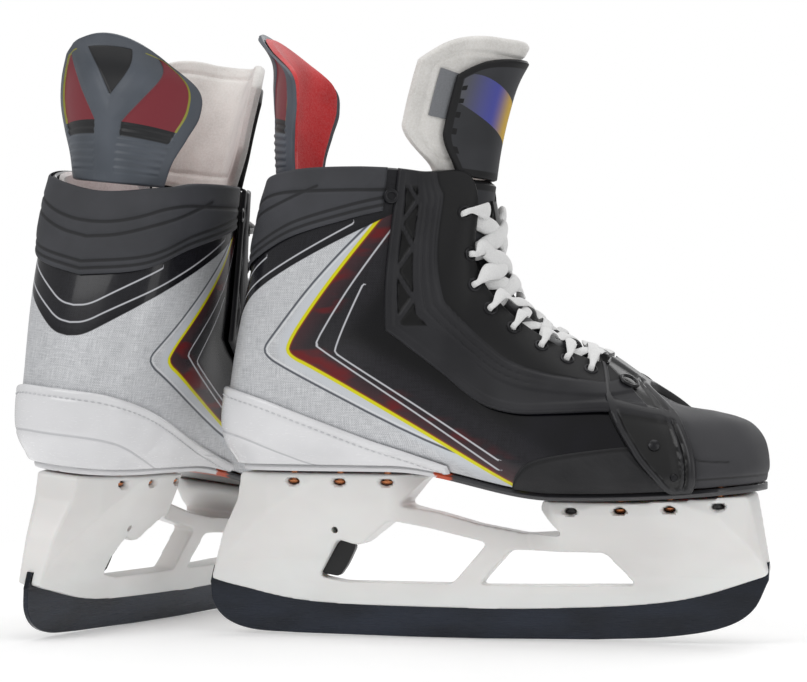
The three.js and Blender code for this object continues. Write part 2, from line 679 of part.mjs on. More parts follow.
// Part of the tongue between two heights and two depths; wing is how far it wraps back past the ridge.
function tonguePiece(from, to, steps, wing, near, far) {
  const shares = [-1, -0.62, -0.3, 0, 0.3, 0.62, 1];
  const grid = (depth) =>
    range(from, to, steps).map((at) =>
      shares.map((share) => {
        const rounding = 1.3 * share * share * Math.max(0, (at - tongueSplit) / 4) ** 3;
        return tonguePoint(at - rounding, share * (ridgeArc + wing(at)), depth);
      }),
    );
  return wallBetween(grid(far), grid(near));
}

const hiddenWing = (full) => (at) => lerp(-4.5, full * 0.5, smooth((at - 3) / 5));
const freeWing = (full) => (at) => lerp(full * 0.5, full, smooth((at - tongueSplit) / 1.2));
const slotShare = tongue.slot / 32; // half the gap between the fixed and the free part, as a share of a step

const feltDepths = [tongue.cover + standOff, tongue.cover + standOff + tongue.felt];
const lowerTongue = (wing, near, far) =>
  tonguePiece(0.1, tongueSplit - slotShare, 10, hiddenWing(wing), near, far);
const upperTongue = (wing, top, near, far) =>
  tonguePiece(tongueSplit + slotShare, tongueSplit + top, 7, freeWing(wing), near, far);

// ---------------------------------------------------------------- tendon guard

// The guard stands over the back of the collar. Levels run from 0 at its base to 1 at its flared tip.
function guardPoint(level, across, depth) {
  const read = (values) => throughPoints(values, level * (values.length - 1));
  const back = read([25.5, 25, 25, 25.5, 25, 16]);
  const half = (read([0.66, 0.74, 0.88, 1, 0.98, 0.7]) * guard.width) / 2;
  const bend = THREE.MathUtils.degToRad(read([58, 55, 52, 50, 46, 42]));
  const radius = half / Math.sin(bend);
  const angle = across * bend;
  const z = lerp(guard.base, guard.height, level) - 12 * level * across * across;
  return [back + radius - (radius - depth) * Math.cos(angle), (radius - depth) * Math.sin(angle), z];
}

function guardPiece(near, far, margin) {
  const grid = (depth) =>
    range(margin, 1 - margin, 8).map((level) =>
      range(-1 + margin * 2, 1 - margin * 2, 8).map((across) => guardPoint(level, across, depth)),
    );
  return wallBetween(grid(near), grid(far));
}

// ---------------------------------------------------------------- lace

// The height on the tongue that lies between the two edges of the facing at a station.
function tongueBeside(station) {
  const edge = quarterPoint(station, topLevel, 0);
  const away = (at) => {
    const [x, , z] = tonguePoint(at, 0, 0);
    return Math.hypot(x - edge[0], z - edge[2]);
  };
  return range(0, tongueSplit, 160).reduce((best, at) => (away(at) < away(best) ? at : best));
}

// One lace, threaded from the top right eyelet down to the toe and back up on the other side. It comes over the
// edge of the facing, goes down through the eyelet, runs back under the facing and crosses the tongue.
function makeLace() {
  const path = [];
  const add = (point, width, station) => path.push({ point: new THREE.Vector3(...point), width, station });
  const half = lace.thickness / 2;
  const over = facing.lift + facing.thickness + 1.7 + half;
  const under = facing.lift - 1.3 - half;
  const threadEyelet = (side, i) => {
    const { edge, level: hole, station } = eyelets[i];
    const at = (level, depth, width) => {
      const s = level > topLevel ? edge : station + (edge - station) * ((level - hole) / (topLevel - hole));
      add(quarterPoint(side * s, level, depth), width, side * edge);
    };
    at(topLevel + 0.05, over + 1.3, lace.width * 0.85);
    at(hole + 0.07, over, lace.pinched);
    at(hole - 0.02, over - 0.7, lace.pinched);
    at(hole - 0.02, under + 0.4, lace.pinched);
    at(hole + 0.08, under, lace.pinched);
    at(topLevel + 0.02, under - 0.5, lace.width * 0.7);
  };
  const cross = (i, j, side, layer) => {
    const [from, to] = [eyelets[i].edge, eyelets[j].edge];
    const low = 1.4;
    const crest = low + layer * (lace.thickness + 0.6);
    const high = low + lace.thickness + 1.8;
    const at = (share, across, lift) => {
      const s = lerp(from, to, share);
      add(tonguePoint(tongueBeside(s), across, -(lift + half)), lace.width * 0.85, s);
    };
    at(0.08, side * 19, low + 0.2);
    at(0.2, side * 14, low);
    at(0.35, side * 7, lerp(low, crest, 0.6));
    at(0.5, 0, crest);
    at(0.65, -side * 7, lerp(crest, high, 0.6));
    at(0.8, -side * 14, high);
  };
  const last = facing.eyelets - 1;
  let side = -1;
  for (let i = 0; i <= last; i++) {
    threadEyelet(side, i);
    cross(i, Math.min(last, i + 1), side, 0);
    side = -side;
  }
  for (let i = last; i >= 0; i--) {
    threadEyelet(side, i);
    if (i > 0) cross(i, i - 1, side, 1);
    side = -side;
  }
  return ribbon(path);
}

// A flat strip along a path, its width kept along the edge of the facing.
function ribbon(path) {
  const rings = path.map(({ point, width, station }, i) => {
    const before = path[Math.max(0, i - 1)].point;
    const after = path[Math.min(path.length - 1, i + 1)].point;
    const tangent = after.clone().sub(before).normalize();
    const throat = edgeDirection(station).setY(0).normalize();
    const wide = throat.addScaledVector(tangent, -throat.dot(tangent)).normalize();
    const thick = wide.clone().cross(tangent).normalize();
    const corner = (w, t) =>
      point
        .clone()
        .addScaledVector(wide, (w * width) / 2)
        .addScaledVector(thick, (t * lace.thickness) / 2)
        .toArray();
    return [corner(-1, -1), corner(1, -1), corner(1, 1), corner(-1, 1)];
  });
  const corners = [];
  for (let i = 0; i + 1 < rings.length; i++)
    for (let k = 0; k < 4; k++) {
      const [a, b, c, d] = [rings[i][k], rings[i + 1][k], rings[i + 1][(k + 1) % 4], rings[i][(k + 1) % 4]];
      corners.push(a, b, c, a, c, d);
    }
  const [first, end] = [rings[0], rings.at(-1)];
  corners.push(first[0], first[1], first[2], first[0], first[2], first[3]);
  corners.push(end[0], end[2], end[1], end[0], end[3], end[2]);
  return closedGeometry(corners);
}

// ---------------------------------------------------------------- assembly

const finishes = {
  black: { color: 0x101114, roughness: 0.35, metalness: 0 },
  charcoal: { color: 0x3a3b3e, roughness: 0.55, metalness: 0 },
  white: { color: 0xeeeeec, roughness: 0.4, metalness: 0 },
  felt: { color: 0xe6e4e0, roughness: 0.95, metalness: 0 },
  red: { color: 0xc4262a, roughness: 0.8, metalness: 0 },
  steel: { color: 0x1b1e24, roughness: 0.3, metalness: 0.9 },
  copper: { color: 0xb8683c, roughness: 0.35, metalness: 0.9 },
};

const pieces = [
  ["quarter", "black", makeQuarter()],
  ["liner", "felt", makeLiner()],
  ["collar_panel", "charcoal", makeCollarPanel()],
  ["heel_counter", "white", makeHeelCounter()],
  ["facing_outer", "charcoal", makeFacing(-1)],
  ["facing_inner", "charcoal", makeFacing(1)],
  ["toe_cap", "charcoal", makeToeCap()],
  ["toe_strap", "black", makeToeStrap()],
  ["outsole", "black", makeOutsole()],
  ["footbed", "felt", makeFootbed()],
  ["rivets_rear", "copper", makeRivets(rivetRows.rear)],
  ["rivets_front", "copper", makeRivets(rivetRows.front)],
  ["holder", "white", makeHolder()],
  ["runner", "steel", makeRunner()],
  ["trigger", "black", makeTrigger()],
  ["trigger_pin", "steel", makePin()],
  ["trigger_spring", "steel", makeSpring()],
  ["tongue_cover", "charcoal", lowerTongue(tongue.wing, 0, tongue.cover)],
  ["tongue_felt", "felt", lowerTongue(tongue.feltWing, ...feltDepths)],
  ["tongue_top_cover", "charcoal", upperTongue(tongue.wing, 3.7, 0, tongue.cover)],
  ["tongue_top_felt", "felt", upperTongue(tongue.feltWing, 4, ...feltDepths)],
  ["tendon_guard", "charcoal", guardPiece(0, guard.plate, 0)],
  ["guard_lining", "red", guardPiece(guard.plate + standOff, guard.plate + standOff + guard.lining, 0.03)],
  ["lace", "white", makeLace()],
];

function skate(prefix) {
  const group = new THREE.Group();
  for (const [name, finish, geometry] of pieces) {
    const mesh = new THREE.Mesh(geometry, new THREE.MeshStandardMaterial(finishes[finish]));
    mesh.name = prefix + "_" + name;
    group.add(mesh);
  }
  return group;
}

const skates = new THREE.Group();
const right = skate("right");
const left = skate("left");
left.scale.y = -1;
left.rotation.set(THREE.MathUtils.degToRad(pair.lean), 0, THREE.MathUtils.degToRad(pair.turn), "ZYX");
left.position.set(pair.x, pair.y, 0);
skates.add(right, left);

// The part's origin is under the middle of the pair, on the ice.
skates.updateMatrixWorld(true);
const box = new THREE.Box3().setFromObject(skates, true);
const centre = box.getCenter(new THREE.Vector3());
skates.position.set(-centre.x, -centre.y, -box.min.z);

export default skates;
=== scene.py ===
# A pair of ice hockey skates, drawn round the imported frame: the frame holds every size, place and joint,
# and this file gives each piece its finished shape and its material.
import math

import bmesh
import bpy
import numpy as np
from mathutils import Matrix, Vector


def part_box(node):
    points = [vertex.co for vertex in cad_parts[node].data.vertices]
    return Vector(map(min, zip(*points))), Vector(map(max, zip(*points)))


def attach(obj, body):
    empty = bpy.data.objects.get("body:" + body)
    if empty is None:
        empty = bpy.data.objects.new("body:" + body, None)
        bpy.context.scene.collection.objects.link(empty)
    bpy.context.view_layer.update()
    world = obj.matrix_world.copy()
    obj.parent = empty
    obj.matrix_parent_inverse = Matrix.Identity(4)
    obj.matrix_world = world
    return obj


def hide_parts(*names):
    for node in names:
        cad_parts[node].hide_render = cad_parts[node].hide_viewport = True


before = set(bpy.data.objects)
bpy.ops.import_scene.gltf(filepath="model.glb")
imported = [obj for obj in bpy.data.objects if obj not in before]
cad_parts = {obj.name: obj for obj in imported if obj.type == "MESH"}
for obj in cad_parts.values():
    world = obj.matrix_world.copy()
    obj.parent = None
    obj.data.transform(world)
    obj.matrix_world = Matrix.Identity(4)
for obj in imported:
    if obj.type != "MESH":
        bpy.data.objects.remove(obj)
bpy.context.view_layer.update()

# ---------------------------------------------------------------- camera, light and floor
# The camera stands level with the ankles, on the outer side of the right skate and a little in front of it.
# The floor is a pale disc whose rim fades away, under soft studio light from large boxes on three sides.
lens = bpy.data.cameras.new("camera")
lens.lens = 127.4
lens.sensor_width = 36
camera = bpy.data.objects.new("camera", lens)
camera.location = (0.3538, -1.5276, 0.1544)
camera.rotation_euler = (math.radians(90), 0, math.radians(13.5))
bpy.context.collection.objects.link(camera)
bpy.context.scene.camera = camera
bpy.context.scene.view_settings.view_transform = "Standard"


def softbox(name, place, target, size, power):
    """A square area light at a place, facing a target."""
    light = bpy.data.lights.new(name, "AREA")
    light.shape = "RECTANGLE"
    light.size, light.size_y = size
    light.energy = power
    lamp = bpy.data.objects.new(name, light)
    lamp.location = place
    facing = np.subtract(target, place)
    lamp.rotation_mode = "QUATERNION"
    lamp.rotation_quaternion = Vector(facing).to_track_quat("-Z", "Y")
    bpy.context.collection.objects.link(lamp)


middle = (0, 0, 0.16)
softbox("key", (-1.1, -1.5, 1.5), middle, (1.2, 1.2), 13)
softbox("fill", (1.6, -1.1, 0.7), middle, (0.9, 1.6), 6)
softbox("top", (0, 0.1, 1.8), middle, (1.6, 1.2), 9)
softbox("back", (0.3, 1.7, 1.0), middle, (1.8, 1.0), 8)

def tone(code):
    """The linear colour of six hex digits."""
    parts = [int(code[i : i + 2], 16) / 255 for i in (0, 2, 4)]
    return tuple(p / 12.92 if p < 0.04045 else ((p + 0.055) / 1.055) ** 2.4 for p in parts)


class Shade:
    """One socket of a material's node tree. Arithmetic on it adds the tree's Math nodes."""

    def __init__(self, tree, socket=None):
        self.tree = tree
        self.socket = socket

    def node(self, kind, settings=None, inputs=None, out=0):
        """Any other node: its settings first, then the values or links of its sockets."""
        made = self.tree.nodes.new("ShaderNode" + kind)
        for name, value in (settings or {}).items():
            setattr(made, name, value)
        for name, value in (inputs or {}).items():
            if isinstance(value, Shade):
                self.tree.links.new(value.socket, made.inputs[name])
            else:
                made.inputs[name].default_value = value
        return Shade(self.tree, made.outputs[out])

    def math(self, operation, *values):
        return self.node("Math", {"operation": operation}, dict(enumerate(values)))

    def __add__(self, other):
        return self.math("ADD", self, other)

    def __sub__(self, other):
        return self.math("SUBTRACT", self, other)

    def __rsub__(self, other):
        return self.math("SUBTRACT", other, self)

    def __mul__(self, other):
        return self.math("MULTIPLY", self, other)

    def __truediv__(self, other):
        return self.math("DIVIDE", self, other)

    __radd__ = __add__
    __rmul__ = __mul__

    def size(self):
        return self.math("ABSOLUTE", self)

    def wave(self):
        return self.math("SINE", self)

    def between(self, low, high):
        """0 below low, 1 above high, and a smooth rise from one to the other; high may be the lower one."""
        settings = {"interpolation_type": "SMOOTHSTEP"}
        return self.node("MapRange", settings, {"Value": self, "From Min": low, "From Max": high})

    def line(self, half, soft=0.25):
        """1 where this distance is less than half a line's width."""
        return self.size().between(half + soft, half - soft)

    def mix(self, low, high):
        """The colour low where this mask is 0, and high where it is 1."""
        low, high = [c if isinstance(c, Shade) else (*c, 1) for c in (low, high)]
        return self.node("Mix", {"data_type": "RGBA"}, {0: self, 6: low, 7: high}, out=2)

    def attribute(self, name):
        return self.node("Attribute", {"attribute_name": name}, out=2)

    def places(self, x=1, y=1, z=1):
        """The point of the skate's own drawing, in millimetres, stretched along each axis."""
        point = self.node("Attribute", {"attribute_name": "skate"}, out=1)
        return self.node("VectorMath", {"operation": "MULTIPLY"}, {0: point, 1: (x, y, z)})

    def noise(self, where, scale, detail=2, rough=0.5):
        inputs = {"Vector": where, "Scale": scale, "Detail": detail, "Roughness": rough}
        return self.node("TexNoise", {}, inputs)

    def bump(self, height, depth, strength=1.0):
        """A normal from a height that runs from 0 to 1 over a depth in millimetres."""
        return self.node("Bump", {}, {"Strength": strength, "Distance": depth / 1000, "Height": height})


def finish(name, paint, fixed):
    """A material: constants set on the shader itself, then what paint makes to vary over the surface."""
    material = bpy.data.materials.new(name)
    material.use_nodes = True
    tree = material.node_tree
    shader = tree.nodes["Principled BSDF"]
    for socket, value in fixed.items():
        shader.inputs[socket].default_value = value
    for socket, value in paint(Shade(tree)).items():
        if isinstance(value, Shade):
            tree.links.new(value.socket, shader.inputs[socket])
        else:
            shader.inputs[socket].default_value = (*value, 1)
    return material


# The studio's walls are white to look at and give a softer light than they show.
world = bpy.data.worlds.new("studio")
world.use_nodes = True
background = world.node_tree.nodes["Background"]
background.inputs["Color"].default_value = (1, 1, 1, 1)
seen = Shade(world.node_tree).node("LightPath")
world.node_tree.links.new((seen * 0.5 + 0.5).socket, background.inputs["Strength"])
bpy.context.scene.world = world

floor_radius = 0.75
floor_mesh = bpy.data.meshes.new("floor")
rim = [(floor_radius * math.cos(a), floor_radius * math.sin(a), 0) for a in np.linspace(0, math.tau, 97)[:-1]]
floor_mesh.from_pydata(rim, [], [list(range(96))])
floor = bpy.data.objects.new("floor", floor_mesh)
floor.location.z = -0.0002
bpy.context.collection.objects.link(floor)


def floor_paint(start):
    where = start.node("TexCoord", out=3)
    away = start.node("VectorMath", {"operation": "LENGTH"}, {0: where}, out=1)
    grain = start.noise(where, 60)
    return {
        "Base Color": grain.mix(tone("f2f2f2"), tone("f7f7f7")),
        "Alpha": away.between(floor_radius * 0.98, floor_radius * 0.5),
    }


pale = {"Roughness": 0.7, "Specular IOR Level": 0.1, "Emission Color": (1, 1, 1, 1), "Emission Strength": 0.22}
floor_mesh.materials.append(finish("pale_floor", floor_paint, pale))

# ---------------------------------------------------------------- quarter
# The moulded composite shell of the boot, heel to vamp. Clear-coated film graphics lie under its gloss:
# silver linen round the heel, a chevron with a yellow edge, red-tinted carbon with painted dark red glints,
# white pinstripes and a black side clouded with painted dark purple reflections.
boot_length = 284
ball_width = 102
boot_height = 152
heel_seat = 91
shell = 2.4
stand_off = 1.1  # between two curved layers

# Stations from the middle of the heel to the toe seam. Each holds five points from the sole edge to the top
# edge: percent of boot length, of half the ball width, and of boot height.
quarter_net = [
    [[3.5, 0, 0], [0, 0, 11], [1.2, 0, 32], [4.2, 0, 60], [9.2, 0, 94]],
    [[5.6, 37, 0], [3.2, 49, 11], [3.9, 53, 32], [7, 61, 60], [11.3, 65, 97]],
    [[13.4, 53, 0], [12.3, 69, 11], [12.7, 75, 32], [14.8, 86, 61], [17.6, 84, 99.5]],
    [[26.4, 55, 0], [26.4, 71, 10], [26.4, 80, 31], [26.8, 92, 60], [28.2, 88, 100]],
    [[39.4, 59, 0], [38.7, 75, 9], [37.5, 80, 29], [36, 80, 58], [38.8, 69, 99.5]],
    [[49.3, 69, 0], [48.4, 84, 8], [46, 82, 27], [42.2, 69, 57], [47.5, 44, 101]],
    [[58.1, 80, 0], [57.2, 94, 6.8], [54.4, 90, 21.5], [49, 69, 45.5], [47.2, 43, 77.6]],
    [[66.9, 88, 0], [66.9, 100, 5.3], [65, 95, 17], [60.8, 74, 36.5], [52.8, 41, 60.5]],
    [[75.7, 90, 0], [76, 100, 4.6], [75.4, 94, 14.5], [72.2, 76, 29.6], [62.7, 39, 47]],
    [[84.5, 86, 0], [84.9, 94, 4.6], [83.8, 88, 13.2], [80.6, 69, 25], [72.2, 37, 39.8]],
]


def rise(share):
    """0 to 1 with a soft start and end."""
    t = np.clip(share, 0, 1)
    return t * t * (3 - 2 * t)


def sole_height(x):
    along = x / boot_length
    spring = np.maximum(0, (along - 0.64) / 0.36)
    return heel_seat - 13 * rise((along - 0.33) / 0.31) + 5 * spring**2


def toe_swing(x):
    """How far the foot's middle swings towards the big toe."""
    return 5 * 3.3 * np.maximum(0, x / boot_length - 0.45) ** 2


def cubic(t):
    """The weights of the four neighbours of a place on a smooth curve."""
    return np.stack([-t + 2 * t**2 - t**3, 2 - 5 * t**2 + 3 * t**3, t + 4 * t**2 - 3 * t**3, t**3 - t**2]) / 2


def through(values, at):
    """Read off a smooth curve through evenly spaced values."""
    values = np.asarray(values, float)
    wide = np.concatenate([[2 * values[0] - values[1]], values, [2 * values[-1] - values[-2]]])
    at = np.asarray(at, float)
    near = np.clip(np.floor(at).astype(int), 0, len(values) - 2)
    weights = cubic(at - near)
    return sum(
        np.expand_dims(weights[k], tuple(range(at.ndim, at.ndim + values.ndim - 1))) * wide[near + k]
        for k in range(4)
    )


def with_seams(net, first, last):
    """A net with one more station at each end: mirrored over the boot's middle, or carried straight on."""
    net = np.array(net, float)
    mirror = np.array([1, -1, 1])
    before = net[1] * mirror if first == "mirror" else 2 * net[0] - net[1]
    after = net[-2] * mirror if last == "mirror" else 2 * net[-1] - net[-2]
    return np.concatenate([[before], net, [after]])


def net_point(wide, station, level):
    """Percentages at a station and level, from a net that has its two extra stations."""
    tall = np.concatenate([2 * wide[:, :1] - wide[:, 1:2], wide, 2 * wide[:, -1:] - wide[:, -2:-1]], 1)
    station, level = np.broadcast_arrays(np.asarray(station, float), np.asarray(level, float))
    i = np.clip(np.floor(station).astype(int), 0, len(wide) - 4)
    j = np.clip(np.floor(level).astype(int), 0, wide.shape[1] - 2)
    by_station, by_level = cubic(station - i), cubic(level - j)
    return sum(
        (by_station[a] * by_level[b])[..., None] * tall[i + a, j + b] for a in range(4) for b in range(4)
    )


def bare_point(wide, station, level, side):
    share = net_point(wide, station, level)
    foot = net_point(wide, station, 0)
    x = share[..., 0] / 100 * boot_length
    y = side * share[..., 1] / 100 * ball_width / 2 + toe_swing(x)
    z = sole_height(foot[..., 0] / 100 * boot_length) + share[..., 2] / 100 * boot_height
    return np.stack([x, y, z], -1)


def lifted_point(wide, station, level, side, out):
    """The point at a distance outside the bare surface, in millimetres."""
    h = 0.02
    along = bare_point(wide, station + h, level, side) - bare_point(wide, station - h, level, side)
    up = bare_point(wide, station, level + h, side) - bare_point(wide, station, level - h, side)
    normal = np.cross(up, along) * side[..., None]
    normal /= np.linalg.norm(normal, axis=-1, keepdims=True)
    return bare_point(wide, station, level, side) + normal * np.asarray(out)[..., None]


heel_net = with_seams(quarter_net, "mirror", "carry")


def quarter_point(station, level, out):
    """Quarter stations run from -9 on the outer side of the foot, over the heel at 0, to 9 on the inner."""
    station, level, out = np.broadcast_arrays(*[np.asarray(v, float) for v in (station, level, out)])
    side = np.where(station < 0, -1.0, 1.0)
    point = lifted_point(heel_net, np.abs(station), level, side, out)
    point[np.abs(station) < 1e-6, 1] = 0
    return point


# Each skate is drawn as a right skate and then stood in the frame: the left one mirrored, turned and leaning
# in.
blade_tail = 11  # the blade's rear end lies this far behind the heel
blade_low, blade_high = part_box("right_runner")
heel_spot = (blade_low.x + blade_tail / 1000, (blade_low.y + blade_high.y) / 2, blade_low.z)
left_place = (-0.090, -0.056, 0)
left_turn = math.radians(76)
left_lean = math.radians(6)
stand = {"right": Matrix.Translation(heel_spot) @ Matrix.Scale(0.001, 4)}
stand["left"] = (
    Matrix.Translation(heel_spot)
    @ Matrix.Translation(left_place)
    @ Matrix.Rotation(left_turn, 4, "Z")
    @ Matrix.Rotation(left_lean, 4, "X")
    @ Matrix.Diagonal((0.001, -0.001, 0.001, 1))
)


def make_piece(name, side, body, points, faces, material, slot, replaces=(), values=None, sharp=35):
    """One finished piece of a skate, from points in the skate's own drawing, riding on one of its bodies."""
    points = np.asarray(points, float).reshape(-1, 3)
    turned = np.array(stand[side])
    placed = points @ turned[:3, :3].T + turned[:3, 3]
    if side == "left":
        faces = [face[::-1] for face in faces]
    mesh = bpy.data.meshes.new(f"{side}_{name}")
    mesh.from_pydata(placed.tolist(), [], [list(map(int, face)) for face in faces])
    mesh.validate()
    drawing = mesh.attributes.new("skate", "FLOAT_VECTOR", "POINT")
    drawing.data.foreach_set("vector", points.astype(np.float32).ravel())
    for key, numbers in (values or {}).items():
        held = mesh.attributes.new(key, "FLOAT", "POINT")
        held.data.foreach_set("value", np.asarray(numbers, np.float32).ravel())
    mesh.shade_smooth()
    mesh.set_sharp_from_angle(angle=math.radians(sharp))
    mesh.materials.append(material)
    made = bpy.data.objects.new(f"{side}_{name}", mesh)
    bpy.context.collection.objects.link(made)
    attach(made, f"{side}_{body}")
    if replaces:
        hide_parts(*[f"{side}_{node}" for node in replaces])
    return made


def slab(outer, inner):
    """Points and faces of the closed wall between two grids of the same rows and columns."""
    rows, columns = outer.shape[:2]
    index = np.arange(rows * columns).reshape(rows, columns)
    a, b, c, d = index[:-1, :-1], index[1:, :-1], index[1:, 1:], index[:-1, 1:]
    over = np.stack([a, b, c, d], -1).reshape(-1, 4)
    under = over[:, ::-1] + rows * columns
    faces = over.tolist() + under.tolist()
    ring = [*index[0, :], *index[1:, -1], *index[-1, -2::-1], *index[-2:0:-1, 0]]
    for here, there in zip(ring, ring[1:] + ring[:1]):
        faces.append([here, there, there + rows * columns, here + rows * columns])
    return np.concatenate([outer.reshape(-1, 3), inner.reshape(-1, 3)]), faces


def from_border(grid, ends=True, sides=True):
    """How far each point of a grid lies from the nearest of its borders, measured along the surface."""
    far = np.full(grid.shape[:2], 1e3)
    for axis, used in ((0, ends), (1, sides)):
        if not used:
            continue
        steps = np.linalg.norm(np.diff(grid, axis=axis), axis=-1)
        run = np.insert(np.cumsum(steps, axis), 0, 0, axis)
        far = np.minimum(far, np.minimum(run, np.take(run, [-1], axis) - run))
    return far


def rounded(distance, radius):
    """The height of a quarter-round edge, from 0 at the border to 1 a radius in."""
    t = 1 - np.clip(distance / radius, 0, 1)
    return np.sqrt(np.maximum(0, 1 - t * t))


def gathered(count):
    """Shares from 0 to 1 that lie closer together near both ends."""
    t = np.linspace(0, 1, count)
    return 0.4 * t + 0.3 * (1 - np.cos(math.pi * t))


def softened(line, times=3):
    """A line with its inner corners cut round."""
    line = np.array(line, float)
    for _ in range(times):
        cut = np.stack([0.75 * line[:-1] + 0.25 * line[1:], 0.25 * line[:-1] + 0.75 * line[1:]], 1)
        line = np.concatenate([line[:1], cut.reshape(-1, 2), line[-1:]])
    return line


def distance_to(line, places):
    """The distance in millimetres from each flat place to a line."""
    flat = places.reshape(-1, 2)
    best = np.full(len(flat), 1e6)
    for a, b in zip(line[:-1], line[1:]):
        run = b - a
        share = np.clip(((flat - a) @ run) / max(run @ run, 1e-9), 0, 1)
        best = np.minimum(best, np.linalg.norm(flat - a - share[:, None] * run, axis=1))
    return best.reshape(places.shape[:-1])


def inside(outline, places):
    """Whether each flat place is inside a closed outline."""
    x, y = places[..., 0], places[..., 1]
    odd = np.zeros(x.shape, bool)
    for (x0, y0), (x1, y1) in zip(outline, np.roll(outline, -1, axis=0)):
        crosses = (y0 > y) != (y1 > y)
        odd ^= crosses & (x < (x1 - x0) * (y - y0) / (y1 - y0 + 1e-12) + x0)
    return odd


def shell_top(station):
    """The level of the shell's top edge, which drops back under the facing in front of the collar."""
    return 4 - 0.42 * rise((np.abs(station) - 4.25) / 0.5)


# The film's lines in side view, in millimetres forward from the heel and up from the ice.
chevron_line = [
    [98, 226], [82, 205], [58, 175], [41, 152], [43, 146], [55, 140.5], [95, 118], [150, 87], [168, 77],
]
linen_line = [[97, 224], [60, 187], [36, 159], [29, 151], [30, 147], [37, 142], [112, 104], [150, 92]]
pinstripes = [
    [[106, 223], [57.3, 153.7], [59, 150.5], [154, 89.4]],
    [[83.7, 182.7], [67.4, 149.6], [69, 147], [154, 94.4]],
]
# The dark cap over the tendon, drawn round the heel: millimetres from the middle of the back, and up.
tendon_cap = [[0, 158], [9, 159], [20, 166], [50, 187], [118, 224]]
tendon_pinstripes = [[[0, 165], [9, 166], [20, 173], [90, 214]], [[0, 174], [9, 175], [20, 182], [44, 197]]]


def quarter_values(points):
    """The distances that the film's lines are drawn from, for a grid of points."""
    flat_run = np.linalg.norm(np.diff(points[..., :2], axis=0), axis=-1)
    girth = np.insert(np.cumsum(flat_run, 0), 0, 0, 0)
    girth = np.abs(girth - girth[len(girth) // 2])
    side_view = points[..., [0, 2]]
    wrapped = np.stack([girth, points[..., 2]], -1)
    chevron = softened(chevron_line, 2)
    ahead = inside(np.concatenate([chevron, [[400, 77], [400, 226]]]), side_view)
    cap = softened(tendon_cap, 2)
    above = inside(np.concatenate([cap, [[118, 300], [-50, 300], [-50, 158]]]), wrapped)
    values = {
        "girth": girth,
        "chevron": np.where(ahead, 1, -1) * distance_to(chevron, side_view),
        "tendon": np.where(above, 1, -1) * distance_to(cap, wrapped),
    }
    fine_lines = [(line, side_view) for line in pinstripes + [linen_line]]
    fine_lines += [(line, wrapped) for line in tendon_pinstripes]
    nearest = np.full(girth.shape, 1e3)
    for number, (line, where) in enumerate(fine_lines):
        line = softened(line, 2)
        if where is side_view:
            beyond = [[400, line[-1][1]], [400, line[0][1]]]
        else:
            beyond = [[line[-1][0], 400], [-50, 400], [-50, line[0][1]]]
        sign = np.where(inside(np.concatenate([line, beyond]), where), 1, -1)
        away = distance_to(line, where)
        values[f"line_{number}"] = sign * away
        nearest = np.minimum(nearest, away)
    values["nearest_line"] = nearest
    return values


def linen(start):
    """Fine crossing threads, up and across, as a value round a half."""
    point = start.node("SeparateXYZ", {}, {0: start.places()}, out=2)
    girth = start.attribute("girth")
    across = start.node("CombineXYZ", {}, {0: girth * 0.12, 1: point * 2.2, 2: 0.0})
    upward = start.node("CombineXYZ", {}, {0: girth * 2.2, 1: point * 0.12, 2: 7.0})
    threads = (girth * 5.2).wave() * (point * 5.2).wave() * 0.5 + 0.5
    return start.noise(across, 1.0, 3, 0.7) * 0.42 + start.noise(upward, 1.0, 3, 0.7) * 0.42 + threads * 0.16


def film_paint(start):
    threads = linen(start)
    chevron = start.attribute("chevron")
    drawn = start.attribute("nearest_line").between(2.4, 1.6)
    line = start.attribute("line_2")
    tendon = start.attribute("tendon")
    # the large clouds of the painted dark purple reflections on the black side
    wide = start.noise(start.places(0.02, 0.02, 0.02), 1.0, 2)
    # painted highlight: where this noise is high the carbon is given dark red glints
    painted_glint = start.noise(start.places(0.035, 0.035, 0.11), 1.0, 2).between(0.5, 0.66)

    silver = threads.between(0.3, 0.7).mix(tone("a6a8ac"), tone("e4e5e7"))
    pale = chevron.between(-7.5, -1.5).mix(silver, tone("cdd1d6"))
    silver = chevron.between(-13, -8).mix(silver, pale)
    silver = (line.line(0.55)).mix(silver, tone("5c5f66"))
    silver = ((line - 1.3).line(0.4) * 0.6).mix(silver, tone("e6e7e9"))

    carbon = threads.between(0.3, 0.7).mix(tone("161518"), tone("2b2a2f"))
    warm = chevron.between(13, 1)
    carbon = (warm * 0.75).mix(carbon, tone("4a2c31"))
    # painted highlight: dark red glints painted into the red-tinted carbon's colour
    carbon = (painted_glint * chevron.between(16, 4) * 0.85).mix(carbon, tone("6d0f14"))
    # painted reflection: the gloss black side is clouded from near black to dark purple
    black = wide.between(0.4, 0.7).mix(tone("060608"), tone("12111a"))
    front = chevron.between(17, 30).mix(carbon, black)
    front = chevron.between(2.6, 1.5).mix(front, tone("8a3a16"))
    film = chevron.between(-0.2, 0.2).mix(silver, front)
    film = (chevron - 0.6).line(0.85).mix(film, tone("d9d312"))

    cap = threads.between(0.3, 0.7).mix(tone("131316"), tone("26262b"))
    cap = tendon.between(5, 0).mix(cap, tone("141418"))
    film = tendon.between(-0.3, 0.3).mix(film, cap)
    for number in (0, 1, 3, 4):
        film = (start.attribute(f"line_{number}").line(0.4) * drawn).mix(film, tone("c4c5ca"))
    woven = chevron.between(0.5, -0.5) * tendon.between(0.5, -0.5)
    return {
        "Base Color": film,
        "Roughness": woven * 0.22 + 0.24,
        "Metallic": woven * 0.2,
        "Normal": start.bump(threads, 0.12, 0.5),
    }


